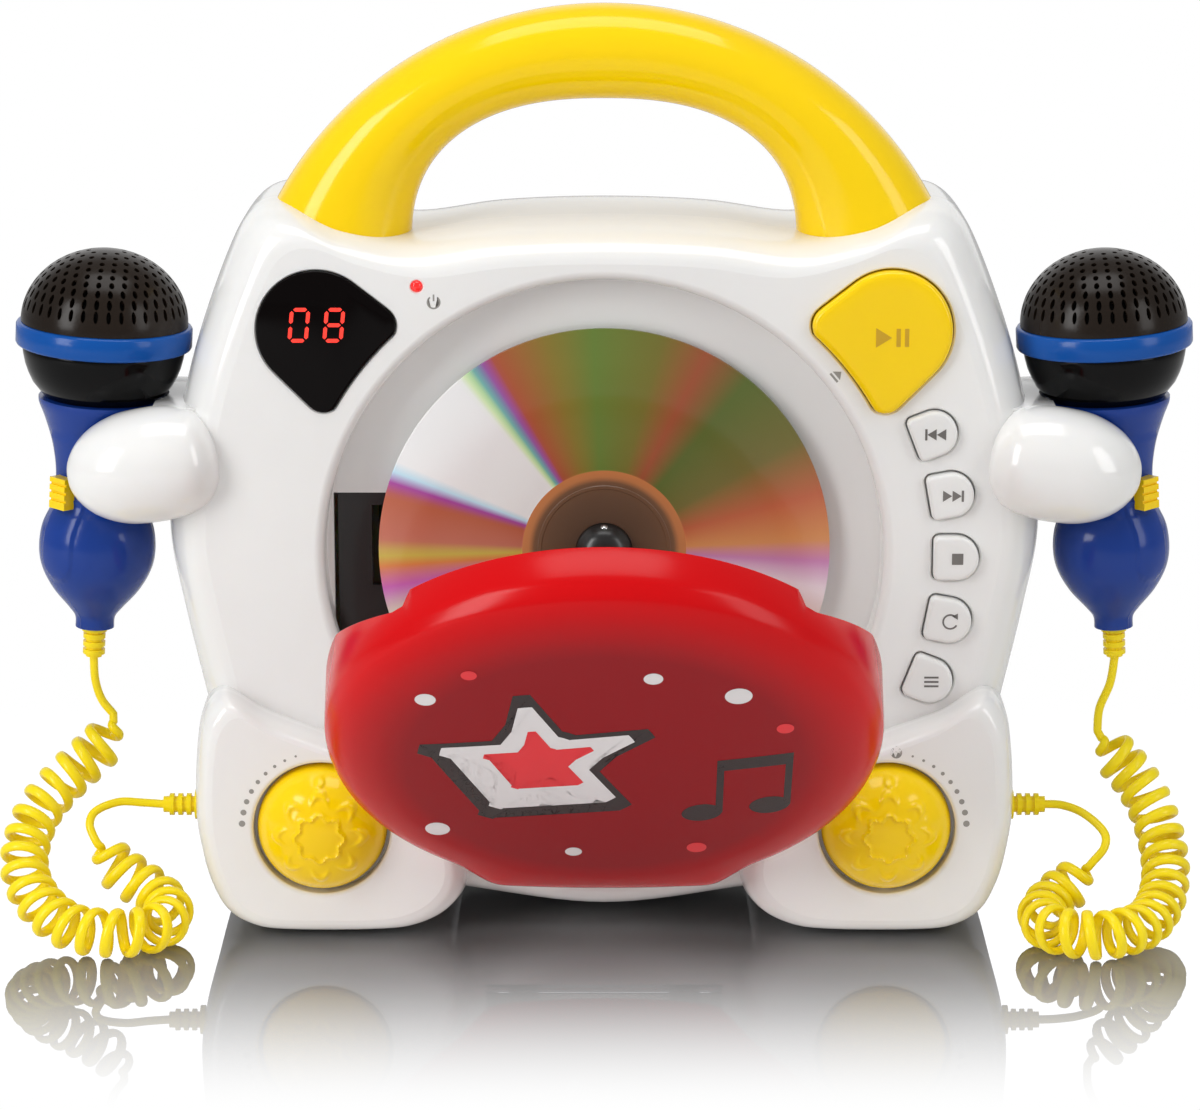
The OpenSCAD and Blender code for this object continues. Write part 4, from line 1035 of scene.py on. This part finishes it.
bright_steel = metal("bright_steel", (0.72, 0.72, 0.74), 0.16)
nose = turned_y("turntable_nose", [
    [0, -6], [1.6, -5.95], [3.2, -5.7], [4.6, -5.2], [5.6, -4.5], [6.3, -3.6], [6.8, -2.8], [7.1, -2.2],
    [7.42, -1.2], [7.42, 0.6], [14.6, 0.62], [15, 0.9], [15, 2.3], [14.7, 2.6], [5, 2.6], [5, 6], [0, 6]],
    mechanism_black, steps=96)
balls = []
for i in range(3):
    turn = math.radians(120 * i + 30)
    ball = [[1.5 * math.sin(a), -1.5 * math.cos(a) - 1.9] for a in np.linspace(0.02, math.pi - 0.02, 17)]
    balls.append(turned_y("ball", ball, bright_steel, 5.9 * math.cos(turn), -5.9 * math.sin(turn), 28))
balls = joined("turntable_balls", balls)
for piece in (nose, balls):
    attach(piece, "spindle")
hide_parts("turntable")

# ---- Disc mechanism ----
# The player's black chassis hangs on four rubber bushes behind the deck. A small motor turns a pinion and a
# wheel, whose rack draws the laser sled along two steel rods.


def finished(material, *nodes):
    """Gives a carried-over piece its surface."""
    for name in nodes:
        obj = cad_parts[name]
        obj.data.materials.clear()
        obj.data.materials.append(material)


rubber_black = moulded("rubber_black", (0.02, 0.019, 0.018), 0.62, mottle=0.2, peel=0.12, grain=1800)
gear_cream = moulded("gear_cream", (0.72, 0.68, 0.55), 0.34, mottle=0.04, peel=0.05, grain=1200, glow=0.08)
can_steel = metal("can_steel", (0.5, 0.5, 0.51), 0.3, 0.15)
finished(mechanism_black, "mechanism_chassis", "pickup_sled")
finished(rubber_black, "damper_bushes")
finished(bright_steel, "guide_rods")
finished(can_steel, "spindle_motor", "sled_motor")
finished(gear_cream, "motor_pinion", "drive_gear")

# ---- Boards and controls inside ----
# Green fibreglass boards carry the tact switches, the chips, the display's red segments and, on the pods,
# the two volume controls in steel cans.
board_green, add, link, output = nodes_of("board_green")
mask = add("ShaderNodeBsdfPrincipled")
mask.inputs["Coat Weight"].default_value = 0.3
where = add("ShaderNodeTexCoord")
traces = add("ShaderNodeTexBrick")
traces.inputs["Scale"].default_value = 120
traces.inputs["Color1"].default_value = (0.01, 0.12, 0.045, 1)
traces.inputs["Color2"].default_value = (0.012, 0.15, 0.055, 1)
traces.inputs["Mortar"].default_value = (0.03, 0.24, 0.09, 1)
link(where.outputs["Object"], traces.inputs["Vector"])
link(traces.outputs["Color"], mask.inputs["Base Color"])
film = add("ShaderNodeMapRange")
film.inputs["To Min"].default_value = 0.25
film.inputs["To Max"].default_value = 0.4
link(traces.outputs["Fac"], film.inputs["Value"])
link(film.outputs["Result"], mask.inputs["Roughness"])
link(mask.outputs[0], output.inputs["Surface"])
finished(board_green, "key_board", "main_board")
finished(can_steel, "volume_pots")
finished(window_black, "display_module")

# ---- Lid ----
# A red gloss cover of one moulding, dished inside, with a deeper skirt between its shoulders and a straight
# foot in front of the hinge. It leans forward when it is open.
hinge_y, hinge_z = 4.2, -81
lid_open = math.radians(41.5)
lid_r = 70.9
foot_z = -71
foot_half = 31


def swung(obj):
    """Turns a piece of the lid from shut to open about the hinge."""
    at = np.array([v.co for v in obj.data.vertices]) / MM - np.array(disc_middle) / MM
    y, z = at[:, 1] - hinge_y, at[:, 2] - hinge_z
    at[:, 1] = y * math.cos(lid_open) - z * math.sin(lid_open) + hinge_y
    at[:, 2] = y * math.sin(lid_open) + z * math.cos(lid_open) + hinge_z
    obj.data.vertices.foreach_set("co", at_disc(at).ravel())
    obj.data.update()
    return obj


def lid_outline(steps=360):
    """The rim's radius at each angle, with the foot's corners rounded."""
    angle = 2 * math.pi * np.arange(steps) / steps
    out = []
    for a in angle:
        x, down = abs(math.sin(a)), math.cos(a)
        r = lid_r
        if down > 0.7:
            side_slope = 17 / 15
            side_line = (foot_half * side_slope + 69) / (down + side_slope * x)
            bow = -foot_z / down
            for _ in range(4):
                bow = (-foot_z - (bow * x) ** 2 / 480) / down
            r = max(r, min(bow, side_line))
        out.append(r)
    wide = np.array(out)
    for _ in range(3):
        wide = (np.roll(wide, 1) + wide + np.roll(wide, -1)) / 3
    return angle, wide


lid_red, add, link, output = nodes_of("lid_red")
gloss_red = add("ShaderNodeBsdfPrincipled")
gloss_red.inputs["Specular IOR Level"].default_value = 0.2
where = add("ShaderNodeTexCoord")
# Painted light: the face runs from a darker red in its middle, a painted shade, to a brighter red at its
# rim, a painted rim highlight.
lid_centre = at_disc([[0, -23, 0]])[0]
shut = np.array(at_disc([[0, hinge_y, hinge_z]])[0])
offset = lid_centre - shut
lid_centre = shut + [0, offset[1] * math.cos(lid_open) - offset[2] * math.sin(lid_open),
                     offset[1] * math.sin(lid_open) + offset[2] * math.cos(lid_open)]
from_centre = add("ShaderNodeVectorMath")
from_centre.operation = "DISTANCE"
from_centre.inputs[1].default_value = tuple(lid_centre)
link(where.outputs["Object"], from_centre.inputs[0])
to_rim = add("ShaderNodeMapRange")
to_rim.inputs["From Min"].default_value = 0.05
to_rim.inputs["From Max"].default_value = 0.069
link(from_centre.outputs["Value"], to_rim.inputs["Value"])
painted_shade_and_rim_highlight = add("ShaderNodeValToRGB")
painted_shade_and_rim_highlight.color_ramp.elements[0].color = (0.3, 0.004, 0.008, 1)
painted_shade_and_rim_highlight.color_ramp.elements[1].color = (0.64, 0.001, 0.003, 1)
link(to_rim.outputs["Result"], painted_shade_and_rim_highlight.inputs["Fac"])
link(painted_shade_and_rim_highlight.outputs["Color"], gloss_red.inputs["Base Color"])
cloud = add("ShaderNodeTexNoise")
cloud.inputs["Scale"].default_value = 30
link(where.outputs["Object"], cloud.inputs["Vector"])
wear = add("ShaderNodeMapRange")
wear.inputs["To Min"].default_value = 0.16
wear.inputs["To Max"].default_value = 0.26
link(cloud.outputs["Fac"], wear.inputs["Value"])
link(wear.outputs["Result"], gloss_red.inputs["Roughness"])
peel = add("ShaderNodeTexNoise")
peel.inputs["Scale"].default_value = 420
link(where.outputs["Object"], peel.inputs["Vector"])
ripple = add("ShaderNodeBump")
ripple.inputs["Strength"].default_value = 0.03
ripple.inputs["Distance"].default_value = 0.0003
link(peel.outputs["Fac"], ripple.inputs["Height"])
link(ripple.outputs["Normal"], gloss_red.inputs["Normal"])
link(gloss_red.outputs[0], output.inputs["Surface"])

lid_front = smooth_line([[0.01, -24], [20, -23.95], [40, -23.7], [52, -23.3], [58, -23], [64.2, -21.6],
                         [68.3, -19], [70.3, -15.6], [70.8, -13.4]], 6)
angle, wide = lid_outline()
rim_x, rim_z = np.sin(angle), -np.cos(angle)
skirt_end = np.interp(lid_r * rim_z, [-80, -30, -10, 22, 48.2, 51, 52.6, 80],
                      [-12, -12, 2, 2, -8.8, -8.8, -5, -5])
loops = []
for r, y in lid_front:
    grown = (wide - lid_r) * np.clip((r - 48) / 16, 0, 1) ** 2 + r
    loops.append(np.column_stack([grown * rim_x, np.full(len(angle), y), grown * rim_z]))
for short, rise in ((0, -0.4), (0.12, -0.12), (0.4, 0), (2, 0), (2.28, -0.12), (2.4, -0.4)):
    loops.append(np.column_stack([(wide - short) * rim_x, skirt_end + rise, (wide - short) * rim_z]))
for short, y in ((2.6, -13.4), (3.7, -15.2), (7.6, -18.6), (13.9, -20.6)):
    hold = wide - short if short < 4 else np.full(len(angle), lid_r - short)
    loops.append(np.column_stack([hold * rim_x, np.full(len(angle), float(y)), hold * rim_z]))
loops.append(np.column_stack([0.01 * rim_x, np.full(len(angle), -21.4), 0.01 * rim_z]))
cover = solid("lid_cover_moulding", loops, lid_red, 40)


def printed(name, loops, target, material, proud=0.04, fine=4.0):
    """Flat shapes in X and Z laid on a surface from the front, as a thin film of print."""
    mesh = bmesh.new()
    for loop in loops:
        mesh.faces.new([mesh.verts.new((x, 0, z)) for x, z in loop])
    bmesh.ops.triangulate(mesh, faces=mesh.faces)
    for _ in range(4):
        long_edges = [e for e in mesh.edges if e.calc_length() > fine]
        if long_edges:
            bmesh.ops.subdivide_edges(mesh, edges=long_edges, cuts=1)
            bmesh.ops.triangulate(mesh, faces=mesh.faces)
    bmesh.ops.recalc_face_normals(mesh, faces=mesh.faces)
    for face in mesh.faces:
        if face.normal.y > 0:
            face.normal_flip()
        face.smooth = True
    under = BVHTree.FromPolygons([v.co for v in target.data.vertices],
                                 [tuple(p.vertices) for p in target.data.polygons])
    for v in mesh.verts:
        start = Vector(at_disc([[v.co.x, -70, v.co.z]])[0])
        hit = under.ray_cast(start, Vector((0, 1, 0)))[0]
        v.co = (hit if hit else start + Vector((0, 0.062, 0))) - Vector((0, proud * MM, 0))
    result = bpy.data.meshes.new(name)
    mesh.to_mesh(result)
    mesh.free()
    result.materials.append(material)
    obj = bpy.data.objects.new(name, result)
    bpy.context.scene.collection.objects.link(obj)
    return obj


def star(x, z, r, dent=0.5, turn=0.0):
    """A five-pointed star with round points."""
    out = []
    for i in range(5):
        for k, (share, reach) in enumerate(((0, 1.0), (0.5, dent))):
            a = math.radians(turn + 90 + (i + share) * 72)
            spread = 4 if k == 0 else 7
            out += [[x + r * reach * math.cos(a + math.radians(d)),
                     z + r * reach * math.sin(a + math.radians(d))]
                    for d in (-spread, -spread / 2, 0, spread / 2, spread)]
    return np.array(out)


def oval(x, z, a, b, turn=0.0, steps=36):
    t = np.radians(np.linspace(0, 360, steps, endpoint=False))
    c, s = math.cos(math.radians(turn)), math.sin(math.radians(turn))
    return np.column_stack([x + a * np.cos(t) * c - b * np.sin(t) * s,
                            z + a * np.cos(t) * s + b * np.sin(t) * c])


def paired_notes(x, z, k):
    """Two joined notes: heads, stems and a slanting beam."""
    return [oval(x, z, 4.6 * k, 3.5 * k, 18), oval(x + 15 * k, z + 3 * k, 4.6 * k, 3.5 * k, 18),
            np.array([[x + 3 * k, z], [x + 4.6 * k, z], [x + 4.6 * k, z + 21 * k], [x + 3 * k, z + 21 * k]]),
            np.array([[x + 18 * k, z + 3 * k], [x + 19.6 * k, z + 3 * k], [x + 19.6 * k, z + 24 * k],
                      [x + 18 * k, z + 24 * k]]),
            np.array([[x + 3 * k, z + 17.5 * k], [x + 19.6 * k, z + 20.5 * k], [x + 19.6 * k, z + 25 * k],
                      [x + 3 * k, z + 22 * k]])]


ink_black = moulded("ink_black", (0.012, 0.008, 0.008), 0.22, coat=0.2, mottle=0.1, peel=0.02, grain=420)
ink_white = moulded("ink_white", (0.82, 0.8, 0.8), 0.25, coat=0.2, mottle=0.03, peel=0.02, grain=420)
ink_red = moulded("ink_red", (0.85, 0.02, 0.03), 0.22, coat=0.2, mottle=0.05, peel=0.02, grain=420)
prints = [
    printed("lid_print_black", [star(-16, 3, 31, turn=8)] + paired_notes(25, -22, 1.15), cover, ink_black),
    printed("lid_print_white", [star(-16, 3, 25.5, turn=8)] + [oval(x, z, r, r) for x, z, r in
                                [(33, 33, 3.4), (12, 41, 2.4), (-44, 31, 2.6), (-43, -31, 3.2),
                                 (-8, -42, 2.2)]],
            cover, ink_white, 0.07),
    printed("lid_print_red", [star(-16, 3, 14.5, turn=8)] + [oval(24, -40, 2.6, 2.6), oval(45, 18, 2.2, 2.2),
                                                             oval(-33, 42, 2, 2)], cover, ink_red, 0.1),
]
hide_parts("lid_cover")
for piece in [cover] + prints:
    swung(piece)
    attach(piece, "lid")

# ---- Printed signs on the case ----
# Pale grey pad print on the panel and the pods: an on sign by the light, an open sign by the play button
# and a row of growing dots round each volume knob.
print_pale = moulded("print_pale", (0.3, 0.29, 0.27), 0.5, mottle=0.1, peel=0.05, grain=1500)


def on_sign(x, z, r):
    return [ring_loops(r, 0.42, 125, 415, 24) + [x, z], bar_at(x, 0.21, r * 0.55, z + r * 0.75)]


open_sign = [np.array([[-1.5, -0.3], [1.5, -0.3], [0, 1.4]]), bar_at(0, 1.5, 0.3, -1.1)]
tilt = math.radians(-50)
tilting = np.array([[math.cos(tilt), math.sin(tilt)], [-math.sin(tilt), math.cos(tilt)]])
signs_on_case = on_sign(-44.4, 68.4, 1.6) + [loop @ tilting + [60.9, 49.1] for loop in open_sign]
for side in (-1, 1):
    for k in range(9):
        turn = math.radians(72 - 8.5 * k)
        r = 0.32 + 0.07 * k
        signs_on_case.append(oval(side * (knob_x + 21.2 * math.cos(turn)), knob_z + 21.2 * math.sin(turn), r,
                                  r, steps=16))
signs_on_case += on_sign(knob_x + 21.2 * math.cos(math.radians(84)),
                         knob_z + 21.2 * math.sin(math.radians(84)), 1.3)
case_print = printed("case_signs", signs_on_case, front, print_pale, 0.03, 2.0)
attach(case_print, "root")

# ---- Lid liner and hinge ----
# A grey-white disc clipped into the lid carries the clamp's ring and two hinge arms, which turn on a steel
# pin through the case. A small black switch behind the deck feels the lid close.
liner_grey = moulded("liner_grey", (0.62, 0.61, 0.59), 0.35, mottle=0.03, peel=0.06, grain=700)
finished(liner_grey, "lid_liner")
finished(bright_steel, "hinge_pin")
finished(mechanism_black, "lid_switch")

# ---- Microphones ----
# Each is a blue gloss handle in two halves with a black cup, a blue band and a domed grille of glossy dark
# plastic with rows of oval holes over a foam lining. The tail ends in a ribbed yellow sleeve.
mic_blue = moulded("mic_blue", (0.008, 0.042, 0.26), 0.18, coat=0.1, mottle=0.04, peel=0.03, grain=420,
                   glow=0.03, shine=0.25)
band_blue = moulded("band_blue", (0.002, 0.075, 0.34), 0.2, coat=0.06, mottle=0.04, peel=0.03, grain=420,
                    shine=0.22)
cup_black = moulded("cup_black", (0.002, 0.002, 0.002), 0.12, mottle=0.15, peel=0.03, grain=500, shine=0.14)
grille_dark = moulded("grille_dark", (0.014, 0.009, 0.006), 0.22, mottle=0.2, peel=0.05, grain=900,
                      shine=0.2)
foam_black = moulded("foam_black", (0.006, 0.005, 0.005), 0.85, mottle=0.3, peel=0.5, grain=2600)
dome_r, dome_rise, dome_h = 22.2, 19.8, 33.4
hole_rows = [(15.5, 1.75, 0.62), (25, 1.5, 0.68), (33.5, 1.2, 0.68), (41, 1.0, 0.7), (48, 0.85, 0.72),
             (55, 0.8, 0.72), (62, 0.75, 0.72), (69.5, 0.7, 0.7), (77.5, 0.65, 0.68)]
switch_turn = math.radians(40)


def dome_point(turn, up, out=0.0):
    """A point on the dome at a turn from the front and an angle up, and moved outwards."""
    base = np.array([dome_r * math.cos(up), dome_rise * math.sin(up)])
    normal = unit([math.cos(up) / dome_r, math.sin(up) / dome_rise])
    r, h = base + out * normal
    return np.array([r * math.sin(turn), -r * math.cos(turn), dome_h + h])


def grille_tool():
    """All the holes of the grille as prisms through the dome's wall."""
    points, faces = [], []
    for degrees, half_high, half_wide in hole_rows:
        up = math.radians(degrees)
        count = round(2 * math.pi * dome_r * math.cos(up) / 3.35)
        for k in range(count):
            turn = 2 * math.pi * k / count
            start = len(points)
            for out in (-4.2, 1.2):
                for q in np.linspace(0, 2 * math.pi, 12, endpoint=False):
                    rise = half_high * math.sin(q) / 21
                    side = half_wide * math.cos(q) / (dome_r * math.cos(up))
                    points.append(dome_point(turn + side, up + rise, out))
            faces += [tuple(start + q for q in range(12)), tuple(start + 23 - q for q in range(12))]
            faces += [(start + q, start + 12 + q, start + 12 + (q + 1) % 12,
                       start + (q + 1) % 12) for q in range(12)]
    return points, faces


def grille(side):
    profile = [[dome_r * math.cos(a),
                dome_h + dome_rise * math.sin(a)] for a in np.radians(np.linspace(0, 90, 40))]
    inside = [[20 * math.cos(a), dome_h + 17.6 * math.sin(a)] for a in np.radians(np.linspace(90, 0, 30))]
    name = "left" if side < 0 else "right"
    shell = turned_mic(name + "_grille",
                       profile[:-1] + [[0, profile[-1][1]], [0, inside[0][1]]] + inside[1:],
                       side, grille_dark, 144)
    ring = bmesh.new()
    ring.from_mesh(shell.data)
    bmesh.ops.delete(ring, geom=[f for f in ring.faces if len(f.verts) > 4], context="FACES_ONLY")
    ring.verts.ensure_lookup_table()
    last = len(ring.verts) - 144
    for j in range(144):
        k = (j + 1) % 144
        ring.faces.new([ring.verts[j], ring.verts[k], ring.verts[last + k], ring.verts[last + j]])
    bmesh.ops.remove_doubles(ring, verts=ring.verts, dist=3e-6)
    bmesh.ops.recalc_face_normals(ring, faces=ring.faces)
    ring.to_mesh(shell.data)
    ring.free()
    points, faces = grille_tool()
    tool = tidied(mesh_object("grille_holes", at_mic(points, side), faces, grille_dark))
    carved(shell, tool)
    tidied(shell, 40)
    quarter = np.radians(np.linspace(0, 90, 24))
    lining = turned_mic(name + "_grille_foam",
                        [[19.9 * math.cos(a), dome_h + 17.5 * math.sin(a)] for a in quarter],
                        side, foam_black, 72)
    body = name + "_mic"
    for piece in (shell, lining):
        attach(piece, body)
    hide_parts(name + "_mic_grille")


mic_rim = [[11.6, -14], [11.8, -6], [13, 1], [15.1, 7.5], [16.7, 11.4], [16.9, 13.1]]
mic_bulb = [[13, -17.8], [15, -22.6], [15.6, -28.6], [14.6, -34], [11.6, -39.6], [7.4, -44.6], [5.4, -47.4],
            [5.2, -50.4]]
mic_neck = [[11.9, -13.4], [11.7, -14.6], [11.9, -15.8], [12.4, -16.9], [13, -17.8]]
handle_steps = 192


def mic_handle(side):
    outline = smooth_line(mic_rim[::-1], 6)[:-1].tolist() + smooth_line(mic_neck, 3)[:-1].tolist() \
        + smooth_line(mic_bulb, 6).tolist()
    name = "left" if side < 0 else "right"
    angle = 2 * math.pi * np.arange(handle_steps) / handle_steps
    away = (angle + math.pi / 2 - switch_turn + math.pi) % (2 * math.pi) - math.pi
    loops = [np.column_stack([15.5 * np.cos(angle), 15.5 * np.sin(angle), np.full(handle_steps, 13.3)])]
    for r, h in outline:
        # A raised tongue holds the switch and ends in a round tip on the bulb
        half_tongue = 5.4 if h > -30 else math.sqrt(max(0.0, 5.4 ** 2 - (h + 30) ** 2))
        reach = np.abs(away) * r
        tongue = np.clip((half_tongue - reach) / 0.5 + 0.5, 0, 1) if h < 4 else np.zeros(handle_steps)
        tongue = tongue * tongue * (3 - 2 * tongue) * 0.5
        parting = 0.25 * np.clip(1 - np.abs(np.abs(np.cos(angle)) - 1) * 4000, 0, 1)
        spread = np.full(handle_steps, float(r)) + tongue - parting
        loops.append(np.column_stack([spread * np.cos(angle), spread * np.sin(angle),
                                      np.full(handle_steps, h)]))
    loops.append(np.column_stack([2.6 * np.cos(angle), 2.6 * np.sin(angle), np.full(handle_steps, -50.4)]))
    points, faces = skinned(loops)
    handle = tidied(mesh_object(name + "_mic_handle_shell", at_mic(points, side), faces, mic_blue), 50)
    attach(handle, name + "_mic")
    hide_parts(name + "_mic_handle")


for side, name in ((-1, "left"), (1, "right")):
    grille(side)
    mic_handle(side)
    cup = turned_mic(name + "_mic_cup_ring", [
        [13.5, 13.5], [15.4, 13.42], [15.8, 13.8], [17.2, 15.5], [18.6, 17.2], [19.8, 19.6], [20.7, 22],
        [21.3, 24.6],
        [21.6, 26.6], [21.5, 26.9], [21, 27], [0, 27]], side, cup_black, 144)
    band = turned_mic(name + "_mic_band_ring", [
        [17, 27.05], [22.6, 27.05], [23.1, 27.35], [23.4, 27.9], [23.4, 32.5], [23.1, 33], [22.6, 33.3],
        [20.1, 33.3],
        [20.1, 32.2], [0, 32.2]], side, band_blue, 144)
    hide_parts(name + "_mic_cup")
    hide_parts(name + "_mic_band")
    for piece, slot in ((cup, "black"), (band, "blue")):
        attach(piece, name + "_mic")

# ---- Cord sleeves and microphone switches ----
# Ribbed sleeves of yellow vinyl grip the cord at each microphone and where it enters the case. A yellow
# slide switch sits in the tongue of each handle.
finished(cord_vinyl, "cord_reliefs", "left_mic_relief", "right_mic_relief")
finished(handle_yellow, "left_mic_switch", "right_mic_switch")

# ---- Back ----
# The battery door swings on its lower edge over four bare battery bays with sprung contacts. Two paper-
# coned loudspeakers, the power inlet, the case screws and the rubber feet are also seen from behind or
# below.
cone_black = moulded("cone_black", (0.03, 0.028, 0.026), 0.8, mottle=0.2, peel=0.3, grain=1800)
finished(case_white, "battery_door")
finished(deck_white, "battery_box")
finished(bright_steel, "battery_contacts")
finished(cone_black, "left_speaker", "right_speaker")
finished(mechanism_black, "dc_inlet")
finished(metal("screw_zinc", (0.42, 0.42, 0.41), 0.35, 0.2), "shell_screws")
finished(rubber_black, "rubber_feet")
